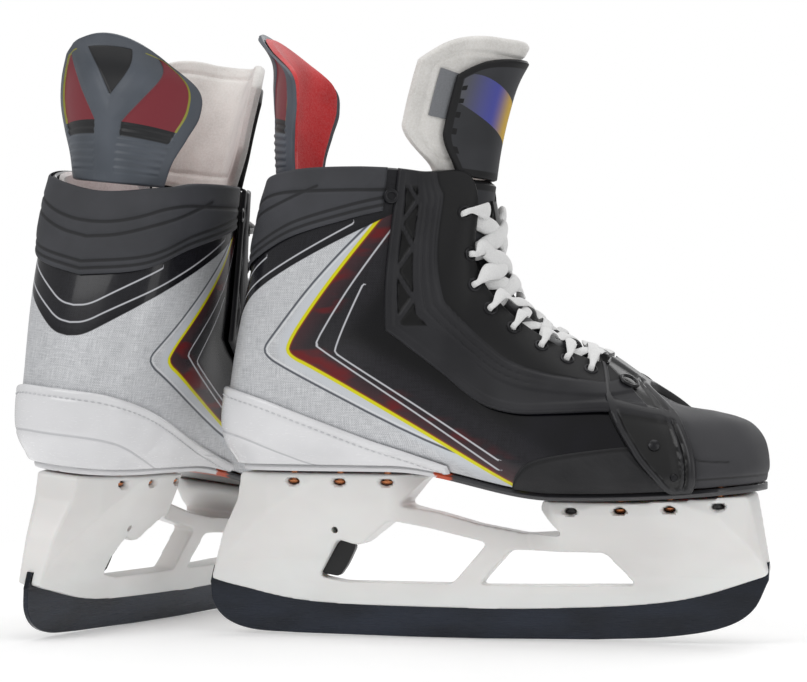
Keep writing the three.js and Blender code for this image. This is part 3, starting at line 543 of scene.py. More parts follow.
film = finish(
    "quarter_film", film_paint, {"Coat Weight": 0.3, "Coat Roughness": 0.08, "Specular IOR Level": 0.2},
)
quarter_stations = np.concatenate(
    [np.linspace(-9, -3.2, 110), np.linspace(-3.2, 3.2, 161)[1:-1], np.linspace(3.2, 9, 110)]
)
for side in stand:
    stations = quarter_stations[:, None]
    levels = shell_top(stations) * gathered(110)
    flat = quarter_point(stations, levels, 0)
    roll = rounded(from_border(flat, ends=False), 1.2)
    outer = quarter_point(stations, levels, (roll - 1) * shell / 2)
    inner = quarter_point(stations, levels, -shell / 2 - roll * shell / 2)
    values = {k: np.concatenate([v.ravel(), v.ravel()]) for k, v in quarter_values(flat).items()}
    make_piece("quarter", side, "boot", *slab(outer, inner), film, "composite", ["quarter"], values)

# ---------------------------------------------------------------- collar panel
# A padded synthetic-leather covering round the top of the boot. It is glued over the shell, stitched twice
# along its lower edge, and a band seam runs under its top edge and dips round the foot of the tendon guard.
panel_edge = [3.15, 3.25, 3.42, 3.58, 3.72]
panel_reach = 3.5
cover_thickness = 2


def girth_of(grid):
    """How far each point of a grid lies round the boot from the middle of its first axis, in millimetres."""
    steps = np.linalg.norm(np.diff(grid[..., :2], axis=0), axis=-1)
    run = np.insert(np.cumsum(steps, 0), 0, 0, 0)
    return run - run[len(run) // 2]


def grooved(distance, width, depth):
    """A soft groove along a line, as a change of height."""
    return -depth * np.exp(-((distance / width) ** 2))


def leather_paint(dark, light, grain=2.2, worn=0.5):
    """Synthetic leather: pebbled grain, faint clouds, and a darker line where a seam runs: the thread channel of a
    stitched seam, and painted shade in the groove of a moulded line.
    """

    def paint(start):
        clouds = start.noise(start.places(0.03, 0.03, 0.03), 1.0, 3)
        pebbles = start.node(
            "TexVoronoi", {"feature": "DISTANCE_TO_EDGE"}, {"Vector": start.places(), "Scale": grain},
        )
        fine = start.noise(start.places(), 3.1, 2)
        colour = clouds.between(0.3, 0.7).mix(tone(dark), tone(light))
        seam = start.attribute("seam").between(1.3, 0.5)
        # darker along seams: stitching on stitched panels, painted shade in the grooves of moulded lines
        colour = (seam * 0.75).mix(colour, tone("101012"))
        height = pebbles.between(0.0, 0.25) * 0.6 + fine * 0.4
        return {"Base Color": colour, "Roughness": fine * 0.2 + worn, "Normal": start.bump(height, 0.15, 0.6)}

    return paint


collar_leather = finish("collar_leather", leather_paint("37383c", "424348"), {"Specular IOR Level": 0.4})
band_seam = [[200, 231], [60, 231], [42, 229], [28, 222], [12, 218], [0, 217.5]]
guard_foot = [[70, 233], [44, 222], [20, 212], [0, 209.5]]
for side in stand:
    stations = np.linspace(-panel_reach, panel_reach, 301)[:, None]
    low = through(panel_edge, np.abs(stations))
    levels = low + (4 - low) * gathered(90)
    flat = quarter_point(stations, levels, stand_off)
    wrapped = np.stack([np.abs(girth_of(flat)), flat[..., 2]], -1)
    lower = np.linalg.norm(np.cumsum(np.insert(np.diff(flat, axis=1), 0, 0, 1), 1), axis=-1)
    seams = np.minimum(distance_to(softened(band_seam), wrapped), distance_to(softened(guard_foot), wrapped))
    seams = np.minimum(seams, np.minimum(np.abs(lower - 3.2), np.abs(lower - 7)))
    puffed = 0.5 + 0.5 * rise(from_border(flat) / 14)
    height = rounded(from_border(flat), 1.8) * cover_thickness * puffed + grooved(seams, 1.1, 0.5)
    outer = quarter_point(stations, levels, stand_off + np.maximum(height, 0.05))
    values = {"seam": np.concatenate([seams.ravel(), seams.ravel()])}
    panel = slab(outer, flat)
    made = make_piece(
        "collar_panel", side, "boot", *panel, collar_leather, "collar_leather", ["collar_panel"], values,
    )

# ---------------------------------------------------------------- heel counter
# A white cup moulded in glossy plastic and glued round the heel. A row of stitches follows its upper edge,
# and a second seam curves down to the sole where the cup is doubled.
counter_edge = [1.75, 1.72, 1.5, 1.05, 0.55, 0.3]
counter_reach = 4.5


def plastic_paint(dark, light, rough=0.3):
    """Moulded plastic: almost even, with a faint orange-peel and slight clouding."""

    def paint(start):
        clouds = start.noise(start.places(0.02, 0.02, 0.02), 1.0, 3)
        peel = start.noise(start.places(), 0.8, 2)
        scuffs = start.noise(start.places(0.3, 0.3, 1.6), 1.0, 4).between(0.55, 0.75)
        return {
            "Base Color": clouds.between(0.3, 0.7).mix(tone(dark), tone(light)),
            "Roughness": scuffs * 0.14 + rough,
            "Normal": start.bump(peel, 0.1, 0.25),
        }

    return paint


def seamed_plastic_paint(start):
    painted = plastic_paint("dcdcde", "e6e6e8", 0.22)(start)
    seam = start.attribute("seam").between(0.9, 0.3)
    painted["Base Color"] = (seam * 0.5).mix(painted["Base Color"], tone("9a9ba0"))
    return painted


def runs_of_thread(line, length, gap, radius):
    """Points and faces of stitches along a line: a row of short round-ended threads."""
    line = np.asarray(line, float)
    run = np.insert(np.cumsum(np.linalg.norm(np.diff(line, axis=0), axis=1)), 0, 0)
    points, faces = [], []
    for begin in np.arange(gap, run[-1] - length, length + gap):
        stops = begin + length * np.array([0, 0.12, 0.5, 0.88, 1])
        middles = np.stack([np.interp(stops, run, line[:, k]) for k in range(3)], 1)
        ahead = middles[-1] - middles[0]
        ahead /= np.linalg.norm(ahead)
        one = np.cross(ahead, [0.3, 0.5, 0.8])
        one /= np.linalg.norm(one)
        two = np.cross(ahead, one)
        base = len(points)
        for middle, share in zip(middles, (0.25, 0.85, 1, 0.85, 0.25)):
            for k in range(6):
                angle = k * math.pi / 3
                points.append(middle + radius * share * (one * math.cos(angle) + two * math.sin(angle)))
        for ring in range(4):
            for k in range(6):
                a, b = base + 6 * ring + k, base + 6 * ring + (k + 1) % 6
                faces.append([a, b, b + 6, a + 6])
        faces.append([base + k for k in range(5, -1, -1)])
        faces.append([base + 24 + k for k in range(6)])
    return np.array(points), faces


white_shell = finish("white_shell", seamed_plastic_paint, {"Coat Weight": 0.4, "Coat Roughness": 0.1})
thread_paint = plastic_paint("b9babd", "cfd0d2", 0.7)
white_thread = finish("white_thread", thread_paint, {"Sheen Weight": 0.2})
counter_seam = [[0, 107.5], [22, 107.5], [40, 104.5], [64, 91], [70, 84]]
for side in stand:
    stations = np.linspace(-counter_reach, counter_reach, 281)[:, None]
    high = through(counter_edge, np.abs(stations))
    levels = 0.03 + (high - 0.03) * gathered(60)
    flat = quarter_point(stations, levels, stand_off)
    wrapped = np.stack([np.abs(girth_of(flat)), flat[..., 2]], -1)
    seams = distance_to(softened(counter_seam), wrapped)
    upper = np.cumsum(np.insert(np.linalg.norm(np.diff(flat[:, ::-1], axis=1), axis=-1), 0, 0, 1), 1)[:, ::-1]
    height = rounded(from_border(flat), 1.6) * cover_thickness + grooved(seams, 0.8, 0.4)
    height += grooved(upper - 4.6, 0.9, 0.35) + 0.35 * rise((6.0 - from_border(flat, ends=False)) / 3) * (
        levels < 0.6
    )
    outer = quarter_point(stations, levels, stand_off + np.maximum(height, 0.05))
    values = {"seam": np.concatenate([seams.ravel(), seams.ravel()])}
    make_piece(
        "heel_counter", side, "boot", *slab(outer, flat), white_shell, "white_shell", ["heel_counter"],
        values,
    )
    row_levels = np.array([np.interp(4.6, u[::-1], l[::-1]) for u, l in zip(upper, levels)])
    row = quarter_point(stations[:, 0], row_levels, 3.0)
    thread = runs_of_thread(row, 2.3, 1.2, 0.34)
    make_piece("counter_stitches", side, "boot", *thread, white_thread, "white_shell")

# ---------------------------------------------------------------- lace facings
# One moulded facing down each side of the throat. It has a raised outer bead, a truss in a sunk field at the
# ankle, three ribs along its length, and a smooth leather field that carries the eyelets.
facing_edge = [2.6, 2.35, 2.2, 2.3, 2.55, 2.8, 2.9]
facing_ends = (3.66, 9)
facing_lift = 1.6
facing_thickness = 2.2


def facing_low(station):
    share = (station - 3.6) / (9 - 3.6)
    return through(facing_edge, share * 6)


def facing_paint(start):
    field = start.attribute("field")
    recess = start.attribute("recess")
    fine = start.noise(start.places(), 2.6, 3)
    pebbles = start.node(
        "TexVoronoi", {"feature": "DISTANCE_TO_EDGE"}, {"Vector": start.places(), "Scale": 1.6},
    )
    clouds = start.noise(start.places(0.03, 0.03, 0.03), 1.0, 2)
    ribs = clouds.between(0.3, 0.7).mix(tone("1f1f22"), tone("2a2a2d"))
    colour = field.between(0.3, 0.7).mix(ribs, tone("0d0d0f"))
    # painted shade: the sunk field round the truss is darkened to near black
    colour = recess.between(0.25, 0.7).mix(colour, tone("070708"))
    return {
        "Base Color": colour,
        "Roughness": fine * 0.16 + 0.38,
        "Normal": start.bump(pebbles.between(0, 0.25) * 0.5 + fine * 0.5, 0.1, 0.4),
    }


facing_leather = finish("facing_leather", facing_paint, {"Specular IOR Level": 0.3})
truss = [[236, 0.14], [226, 0.3], [214, 0.12], [202, 0.31], [190, 0.12], [176, 0.31], [164, 0.12]]
truss_span = (160, 235)
rib_shares = (0.37, 0.45, 0.53)
for side in stand:
    for hand, name in ((-1, "facing_outer"), (1, "facing_inner")):
        stations = np.linspace(*facing_ends, 260)[:, None]
        shares = gathered(84)[None, :] * np.ones((260, 1))
        low = facing_low(stations)
        levels = low + (4 - low) * shares
        flat = quarter_point(hand * stations, levels, facing_lift)
        side_view = flat[..., [0, 2]]
        outer_border = np.concatenate([side_view[0, ::-4], side_view[::4, 0]])
        free_border = side_view[np.argmax(stations[:, 0] > 4.75) :: 4, -1]
        from_outer = distance_to(outer_border, side_view)
        wide = from_outer + distance_to(free_border, side_view)
        share_in = from_outer / np.maximum(wide, 1e-6)
        bead = np.exp(-(((from_outer - 2.6) / 2.2) ** 4))
        ribs = sum(np.exp(-(((share_in - share) * wide / 1.35) ** 4)) for share in rib_shares)
        ends = rise((side_view[..., 1] - truss_span[0]) / 4) * rise((truss_span[1] - side_view[..., 1]) / 4)
        within = rise((share_in - 0.13) / 0.02) * rise((0.32 - share_in) / 0.02) * ends
        plan = np.stack([side_view[..., 1], share_in * 44], -1)
        zigzag = np.array([[height, share * 44] for height, share in truss])
        strut = np.exp(-((distance_to(zigzag, plan) / 1.3) ** 4))
        recess = within * (1 - strut)
        field = rise((share_in - 0.58) / 0.03)
        body = 1.1 + 0.55 * np.clip(bead + ribs, 0, 1) * (1 - field) + 0.3 * field - 0.95 * recess
        height = np.maximum(0.05, rounded(from_border(flat), 1.5) * body * facing_thickness / 1.65)
        outer = quarter_point(hand * stations, levels, facing_lift + height)
        values = {
            "field": np.concatenate([field.ravel(), field.ravel()]),
            "recess": np.concatenate([recess.ravel(), recess.ravel()]),
            "seam": np.full(2 * field.size, 9.0),
        }
        grids = (outer, flat) if hand > 0 else (outer[::-1], flat[::-1])
        if hand < 0:
            values = {
                k: np.concatenate([v[: field.size].reshape(field.shape)[::-1].ravel()] * 2)
                for k, v in values.items()
            }
        make_piece(name, side, "boot", *slab(*grids), facing_leather, "facing_leather", [name], values)

# ---------------------------------------------------------------- eyelets
# Pressed black rings in two rows along the free edges of the facings. The lace uses the lower eight of each
# row.
hole_level = 3.77


def edge_run(station):
    """Which way the facing's free edge runs at a station."""
    step = 0.1 * np.sign(station)
    run = quarter_point(station + step, 4, 0) - quarter_point(station - step, 4, 0)
    return run / np.linalg.norm(run)


def across_from(station, level):
    """The station where a lower level lies straight across from the free edge's point at another station."""
    tries = np.linspace(station - 1.6, station + 0.6, 89)
    off = np.abs((quarter_point(tries, level, 0) - quarter_point(station, 4, 0)) @ edge_run(station))
    return tries[np.argmin(off)]


eyelets = []
for edge in np.linspace(5.5, 8.75, 8):
    level = hole_level - 0.03 * (edge - 5)
    eyelets.append((edge, level, across_from(edge, level)))
spare_eyelets = [(edge, hole_level, across_from(edge, hole_level)) for edge in (5.2,)]


def turned_ring(middle, axis, profile, count=28):
    """Points and faces of a closed profile of [radius, height] pairs turned round an axis through a point."""
    axis = axis / np.linalg.norm(axis)
    one = np.cross(axis, [0.31, 0.62, 0.72])
    one /= np.linalg.norm(one)
    two = np.cross(axis, one)
    angles = np.linspace(0, math.tau, count + 1)[:-1]
    points = [
        middle + axis * h + r * (one * math.cos(a) + two * math.sin(a)) for a in angles for r, h in profile
    ]
    n = len(profile)
    faces = []
    for i in range(count):
        for k in range(n):
            a, b = i * n + k, i * n + (k + 1) % n
            c, d = (i + 1) % count * n + (k + 1) % n, (i + 1) % count * n + k
            faces.append([a, d, c, b])
    return points, faces


def joined(parts):
    """Several lots of points and faces as one."""
    points, faces = [], []
    for some, theirs in parts:
        faces += [[i + len(points) for i in face] for face in theirs]
        points += list(some)
    return np.array(points), faces


eyelet_black = finish("eyelet_black", plastic_paint("18181a", "222225", 0.3), {"Metallic": 0.5})
angles = np.linspace(0, math.tau, 13)[:-1]
eyelet_ring = [[2.9 + 0.85 * math.cos(a), 0.5 * math.sin(a)] for a in angles]
eyelet_well = [[0.01, -0.9], [2.6, -0.9], [2.6, -0.3], [2.3, -0.3], [2.3, -0.7], [0.01, -0.7]]
for side in stand:
    rings = []
    for hand in (-1, 1):
        for edge, level, station in eyelets + spare_eyelets:
            foot = quarter_point(hand * station, level, 0)
            out = quarter_point(hand * station, level, 1) - foot
            top = foot + out * (facing_lift + 1.95)
            rings += [turned_ring(top, out, eyelet_ring), turned_ring(top, out, eyelet_well, 20)]
    make_piece("eyelets", side, "boot", *joined(rings), eyelet_black, "facing_leather")

# ---------------------------------------------------------------- side panel
# A matte panel stitched over the shell at the ball of the foot, low on each side, with short slanting ribs.
panel_top = [[157, 77], [162, 86], [170, 92.5], [181, 96.2], [212, 101], [246, 104]]


def level_at(station, height, steps=26):
    """The level of the bare surface that lies at a height above the ice."""
    low, high = np.zeros(np.shape(height)), np.full(np.shape(height), 4.0)
    for _ in range(steps):
        half = (low + high) / 2
        under = quarter_point(station, half, 0)[..., 2] < height
        low, high = np.where(under, half, low), np.where(under, high, half)
    return (low + high) / 2


side_leather = finish(
    "side_leather", leather_paint("1e1e20", "28282a", 1.9, 0.55), {"Specular IOR Level": 0.35},
)
panel_curve = softened(panel_top, 3)
for side in stand:
    for hand in (-1, 1):
        stations = np.linspace(5.78, 8.97, 150)
        middle_x = quarter_point(hand * stations, 0.6, 0)[:, 0]
        top = level_at(hand * stations, np.interp(middle_x, panel_curve[:, 0], panel_curve[:, 1]))
        levels = 0.02 + np.maximum(0.02, top[:, None] - 0.02) * gathered(46)
        flat = quarter_point(hand * stations[:, None], levels, 0.12)
        upper = np.cumsum(np.insert(np.linalg.norm(np.diff(flat[:, ::-1], axis=1), axis=-1), 0, 0, 1), 1)[
            :, ::-1,
        ]
        slant = flat[..., 0] + 1.1 * flat[..., 2]
        ribs = np.exp(-(((slant % 5.2 - 2.6) / 0.9) ** 2)) * rise((upper - 3) / 1.5) * rise((15 - upper) / 5)
        ribs *= rise((flat[..., 0] - 178) / 6)
        height = rounded(from_border(flat), 0.9) * 0.95 + 0.45 * ribs + grooved(upper - 1.9, 0.5, 0.3)
        outer = quarter_point(hand * stations[:, None], levels, 0.12 + np.maximum(height, 0.02))
        grids = (outer, flat) if hand > 0 else (outer[::-1], flat[::-1])
        seam = np.abs(upper - 1.9) if hand > 0 else np.abs(upper - 1.9)[::-1]
        values = {"seam": np.concatenate([seam.ravel(), seam.ravel()])}
        word = "outer" if hand < 0 else "inner"
        make_piece(
            f"side_panel_{word}", side, "boot", *slab(*grids), side_leather, "facing_leather", (), values,
        )

# ---------------------------------------------------------------- toe cap
# A hard moulded cap over the toes, matte black, with a shallow moulded line curving down each side.
toe_net = [
    [*quarter_net[9], [71.5, 0, 42.4]],
    [[91.5, 73, 0], [92.3, 80, 4.6], [91.2, 75, 11.8], [88, 57, 21], [83.1, 27, 27], [81.7, 0, 28.6]],
    [[97.5, 43, 0], [98.2, 49, 5.3], [97.2, 45, 13.2], [94.4, 33, 20.4], [90.8, 16, 23.4], [89.8, 0, 24]],
    [[99.5, 0, 0], [100, 0, 5.9], [99.3, 0, 13.8], [97.2, 0, 19.1], [94.4, 0, 21.7], [92.6, 0, 22.4]],
]
cap_net = with_seams(toe_net, "carry", "mirror")


def toe_point(station, level, out):
    """Toe stations run from 0 at the outer seam, over the tip at 3, to 6 at the inner; level 5 is the ridge."""
    station, level, out = np.broadcast_arrays(*[np.asarray(v, float) for v in (station, level, out)])
    side = np.where(station > 3, 1.0, -1.0)
    folded = np.where(station > 3, 6 - station, station)
    point = lifted_point(cap_net, folded, level, side, out)
    other = lifted_point(cap_net, folded, level, -side, out)
    tip = np.abs(folded - 3) < 1e-6
    ridge = level > 4.9999
    middle = (point + other) / 2
    point = np.where((tip | ridge)[..., None], middle, point)
    point[..., 1] = np.where(tip | ridge, toe_swing(point[..., 0]), point[..., 1])
    return point


def weld(made, gap=1e-5):
    """Joins the points that lie on each other where a grid folds back on itself."""
    work = bmesh.new()
    work.from_mesh(made.data)
    bmesh.ops.remove_doubles(work, verts=work.verts, dist=gap)
    work.to_mesh(made.data)
    work.free()
    made.data.shade_smooth()
    made.data.set_sharp_from_angle(angle=math.radians(35))


toe_plastic = finish("toe_plastic", leather_paint("353538", "3d3d40", 2.8, 0.5), {"Specular IOR Level": 0.4})
cap_lines = [[[222, 128], [232, 113], [243, 99], [253, 94.5], [268, 94]], [[286, 87], [240, 84.5]]]
for side in stand:
    stations = np.linspace(0.0, 6.0, 181)[:, None]
    levels = 5 * np.linspace(0, 1, 70)[None, :]
    flat = toe_point(stations, levels, 0)
    seams = np.minimum.reduce([distance_to(softened(line), flat[..., [0, 2]]) for line in cap_lines])
    height = grooved(seams, 0.9, 0.3) - (1 - rounded(flat[..., 2] - flat[:, :1, 2] + 0.01, 1.2)) * 0.8
    outer = toe_point(stations, levels, height)
    inner = toe_point(stations, levels, -shell - 1)
    # painted shade: the moulded lines are darkened along their grooves through the seam value
    values = {"seam": np.concatenate([seams.ravel(), seams.ravel()]) + 0.35}
    cap = make_piece(
        "toe_cap", side, "boot", *slab(outer, inner), toe_plastic, "toe_plastic", ["toe_cap"], values,
    )
    weld(cap)

# ---------------------------------------------------------------- toe strap
# A moulded band from sole to sole over the rear of the toe cap. Two rails edge a recess. On each side it
# holds two round bosses and a large ring for the last crossing of the lace.
strap_rear = [9.02, 8.62, 8.2, 8.05, 8.8, 9.05]
strap_front = [9.5, 9.55, 9.6, 9.62, 9.66, 9.66]


def vamp_point(station, level, out):
    """The surface over quarter and toe cap alike: stations past 9 lie on the cap."""
    station, level, out = np.broadcast_arrays(*[np.asarray(v, float) for v in (station, level, out)])
    on_cap = toe_point(np.maximum(station - 9, 0), level, out)
    on_quarter = quarter_point(-np.minimum(station, 9), np.minimum(level, 4), out)
    return np.where((station > 9)[..., None], on_cap, on_quarter)


def strap_paint(start):
    fine = start.noise(start.places(), 2.2, 3)
    # painted shade: the recess between the rails is darkened to near black
    recess = start.attribute("recess").between(0.3, 0.8)
    return {
        "Base Color": recess.mix(tone("1c1c1f"), tone("060607")),
        "Roughness": fine * 0.15 + 0.3,
        "Normal": start.bump(fine, 0.08, 0.4),
    }


strap_plastic = finish("strap_plastic", strap_paint, {"Specular IOR Level": 0.5})
strap_lift = 3.6
for side in stand:
    levels = np.linspace(0.12, 5, 150)[:, None]
    shares = gathered(44)[None, :]
    rear, front = through(strap_rear, levels), through(strap_front, levels)
    stations = rear + (front - rear) * shares
    flat = vamp_point(stations, levels, 0.3)
    wide = np.cumsum(np.insert(np.linalg.norm(np.diff(flat, axis=1), axis=-1), 0, 0, 1), 1)
    far = wide[:, -1:] - wide
    rails = np.exp(-(((wide - 2.4) / 2.0) ** 4)) + np.exp(-(((far - 2.4) / 2.0) ** 4)) + 0.6 * np.exp(
        -(((far - 7.2) / 1.1) ** 4)
    )
    blocks = rise((0.55 - levels) / 0.2) + rise((levels - 4.35) / 0.3)
    blocks = blocks + np.exp(-(((levels - 2.95) / 0.16) ** 4))
    relief = np.clip(np.clip(rails, 0, 1) + blocks, 0, 1)
    recess = 1 - relief
    lift = strap_lift * (0.5 + 0.5 * relief)
    height = 0.3 + rounded(from_border(flat, ends=False), 1.2) * lift
    outer = vamp_point(stations, levels, np.maximum(height, 0.35))
    halves = []
    for grid in (outer, flat):
        mirrored = grid[::-1].copy()
        mirrored[..., 1] = 2 * toe_swing(mirrored[..., 0]) - mirrored[..., 1]
        halves.append(np.concatenate([grid[:-1], mirrored]))
    deep = np.concatenate([recess[:-1], recess[::-1]])
    grids = [grid[::-1] for grid in halves]
    values = {"recess": np.concatenate([deep[::-1].ravel(), deep[::-1].ravel()])}
    make_piece(
        "toe_strap", side, "boot", *slab(*grids), strap_plastic, "strap_plastic", ["toe_strap"], values,
    )
    fittings = []
    for hand in (-1, 1):
        for level, share, profile in (
            (2.1, 0.42, [[0.01, 1.5], [2.2, 1.4], [2.9, 0.9], [3.1, 0], [0.01, 0]]),
            (1.0, 0.45, [[0.01, 1.1], [1.5, 1.0], [1.9, 0.5], [2.0, 0], [0.01, 0]]),
            (3.62, 0.5, [[4.6 + 1.15 * math.cos(a), 1.4 + 0.8 * math.sin(a)] for a in angles]),
        ):
            station = through(strap_rear, level) * (1 - share) + through(strap_front, level) * share
            foot, top = [vamp_point(station, level, out)[()] for out in (2.0, 3.0)]
            out = top - foot
            if hand > 0:
                foot = foot * [1, -1, 1] + [0, 2 * toe_swing(foot[0]), 0]
                out = out * [1, -1, 1]
            fittings.append(turned_ring(foot, out, profile, 32))
    make_piece("strap_fittings", side, "boot", *joined(fittings), eyelet_black, "strap_plastic")

# ---------------------------------------------------------------- outsole
# A thin composite plate under the whole boot. It is white behind the arch and black in front of it, with a
# red flash where the two meet.
sole_thickness = 3.6
sole_gap = 0.4


def sole_outline(inset):
    """Pairs of outer and inner edge points of the sole, from heel to toe."""
    heel = [
        [quarter_point(hand * s, 0.02, -inset) for hand in (-1, 1)]
        for s in (0.001, *np.linspace(0.15, 8.97, 70))
    ]
    toe = [[toe_point(s, 0.02, -inset), toe_point(6 - s, 0.02, -inset)] for s in np.linspace(0.05, 2.999, 40)]
    return np.array(heel + toe)


def sole_slab(inset, low, high, edge):
    """A plate across the sole between two heights over the shell's underside, its edge rounded."""
    pairs = sole_outline(inset)
    shares = gathered(25)[None, :, None]
    flat = pairs[:, :1] * (1 - shares) + pairs[:, 1:] * shares
    round_off = (1 - rounded(from_border(flat), edge)) * (high - low) * 0.45
    grids = []
    for height, sign in ((low, 1), (high, -1)):
        grid = flat.copy()
        grid[..., 2] = sole_height(flat[..., 0]) + height + sign * round_off
        grids.append(grid)
    return slab(*grids)


def sole_paint(start):
    point = start.node("SeparateXYZ", {}, {0: start.places()})
    ragged = start.noise(start.places(0.2, 0.2, 0.9), 1.0, 3) * 9
    along = point + ragged
    weave = start.noise(start.places(1.5, 1.5, 1.5), 1.0, 2)
    colour = along.between(122, 123).mix(tone("d9d9db"), tone("c1440e"))
    colour = along.between(130, 133).mix(colour, weave.mix(tone("202023"), tone("343437")))
    return {"Base Color": colour, "Roughness": weave * 0.1 + 0.28, "Normal": start.bump(weave, 0.08, 0.3)}


sole_composite = finish("sole_composite", sole_paint, {"Coat Weight": 0.3, "Coat Roughness": 0.15})
for side in stand:
    plate = sole_slab(-0.5, -sole_gap - sole_thickness, -sole_gap, 1.4)
    make_piece("outsole", side, "boot", *plate, sole_composite, "sole_composite", ["outsole"])


# ---------------------------------------------------------------- footbed
# A moulded foam insole that lies loose on the floor of the boot, under the foot.
def foam_paint(start):
    cells = start.node("TexVoronoi", {}, {"Vector": start.places(), "Scale": 1.2})
    return {
        "Base Color": cells.mix(tone("4c4d52"), tone("606167")),
        "Roughness": cells * 0.1 + 0.8,
        "Normal": start.bump(cells, 0.2, 0.6),
    }


footbed_foam = finish("footbed_foam", foam_paint, {"Sheen Weight": 0.3})
for side in stand:
    bed = sole_slab(shell + 5 + 2.5, 2.6, 6.6, 2.5)
    made = make_piece("footbed", side, "boot", *bed, footbed_foam, "footbed_foam", ["footbed"])


# ---------------------------------------------------------------- liner
# Foam padding faced with pale brushed fabric, glued inside the shell from the ankle to the vamp.
def brushed_paint(dark, light, frost=0.3):
    def paint(start):
        nap = start.noise(start.places(0.9, 0.9, 0.9), 1.0, 5, 0.75)
        clouds = start.noise(start.places(0.05, 0.05, 0.05), 1.0, 2)
        shaded = clouds.between(0.3, 0.7).mix(tone(dark), tone(light))
        return {
            "Base Color": (nap.between(0.35, 0.65) * frost).mix(shaded, tone("ffffff")),
            "Roughness": nap * 0.1 + 0.85,
            "Normal": start.bump(nap, 0.35, 0.7),
        }

    return paint


lining = finish("lining", brushed_paint("cfc8c6", "dcd6d4"), {"Sheen Weight": 0.4, "Sheen Roughness": 0.5})
liner_thickness = 5
for side in stand:
    stations = np.linspace(-5.05, 5.05, 221)[:, None]
    top = shell_top(stations) - 0.3 * rise((np.abs(stations) - 3.8) / 1)
    levels = 0.35 + (top - 0.35) * gathered(64)
    back = -(shell + stand_off + 0.3)
    flat = quarter_point(stations, levels, back)
    plump = 0.55 + 0.45 * rise(from_border(flat) / 12)
    height = rounded(from_border(flat), 2.4) * liner_thickness * plump
    face = quarter_point(stations, levels, back - np.maximum(height, 0.05))
    made = make_piece("liner", side, "boot", *slab(flat, face), lining, "lining", ["liner"])

# ---------------------------------------------------------------- blade holder
# One injection moulding in white nylon: two towers that flare up to the boot, joined by a curved bridge and a
# slanting strut, over the rail that grips the blade.
flange_top = sole_height(0) - sole_gap - sole_thickness - stand_off
tower_top = {"rear": 50, "front": 74}
rail_width = 12.6


def from_holder(points):
    """Holder outlines are drawn 86 mm tall and stretched to the height under the boot."""
    return np.array(points, float) * [1, flange_top / 86]


def under_sole(x):
    return sole_height(x) - sole_gap - sole_thickness - stand_off


def rounded_line(points, radius, steps=5):
    """A closed outline with each corner cut by an arc-like curve that starts a radius from the corner."""
    points = np.asarray(points, float)
    line = []
    for before, here, after in zip(np.roll(points, 1, 0), points, np.roll(points, -1, 0)):
        reach = [min(radius, np.linalg.norm(there - here) * 0.45) for there in (before, after)]
        start = here + (before - here) / np.linalg.norm(before - here) * reach[0]
        end = here + (after - here) / np.linalg.norm(after - here) * reach[1]
        for t in np.linspace(0, 1, steps):
            line.append((1 - t) ** 2 * start + 2 * t * (1 - t) * here + t**2 * end)
    return np.array(line)


blade_line = from_holder(
    [[-9, 29], [7, 25], [50, 17.5], [136, 16], [178, 17], [219, 19.5], [250, 24.5], [285, 36]]
)
rear_window = from_holder([[50, 31], [61, 51], [73, 47.5], [90, 61.5], [140, 50], [121.5, 28.5], [64, 28.5]])
front_window = from_holder([[135.5, 28], [152, 46.5], [203, 46.5], [218, 29.5]])
arch_low = from_holder([[170, 68.5], [183, 55.5], [160, 55.2], [136, 59.5], [114, 65.5], [95, 69], [108, 83]])
smooth_blade_line = through(blade_line, np.linspace(0, 7, 40))
front_top = [[x, under_sole(x)] for x in (276, 250, 225, 200, 172)]
rear_top = [[x, under_sole(x)] for x in (112, 86, 60, 35, 9)]
back = from_holder([[7, 72], [-2, 54]])
holder_outline = np.concatenate(
    [smooth_blade_line, from_holder([[281, 54]]), front_top, arch_low, rear_top, back]
)
plan_half = [
    [-12, 0.2], [-4, 0.32], [8, 0.48], [25, 0.74], [50, 0.96], [112, 1], [140, 1], [170, 0.84], [200, 0.96],
]
plan_half += [[240, 1], [262, 0.9], [276, 0.62], [288, 0.2]]


def holder_half(x, z):
    """Half the holder's width: the rail, then the towers' flare, rounded in plan at both ends."""
    rear = x < 140
    top = np.where(rear, tower_top["rear"], tower_top["front"]) / 2
    reach = under_sole(np.where(rear, 50, 225))
    heights = np.array([0, 27, 38, 50, 62, 74, 82])
    flare = np.array([0, 0, 0.1, 0.34, 0.64, 0.88, 1.0])
    share = np.interp(z / np.maximum(reach, 1) * 82, heights, flare)
    plan = np.interp(x, *np.array(plan_half).T)
    tower = np.where(rear, rise((112 - x) / 22), rise((x - 160) / 22))
    half = rail_width / 2 + (top - rail_width / 2) * share * tower
    return np.minimum(half, np.maximum(top * plan, 2.2))


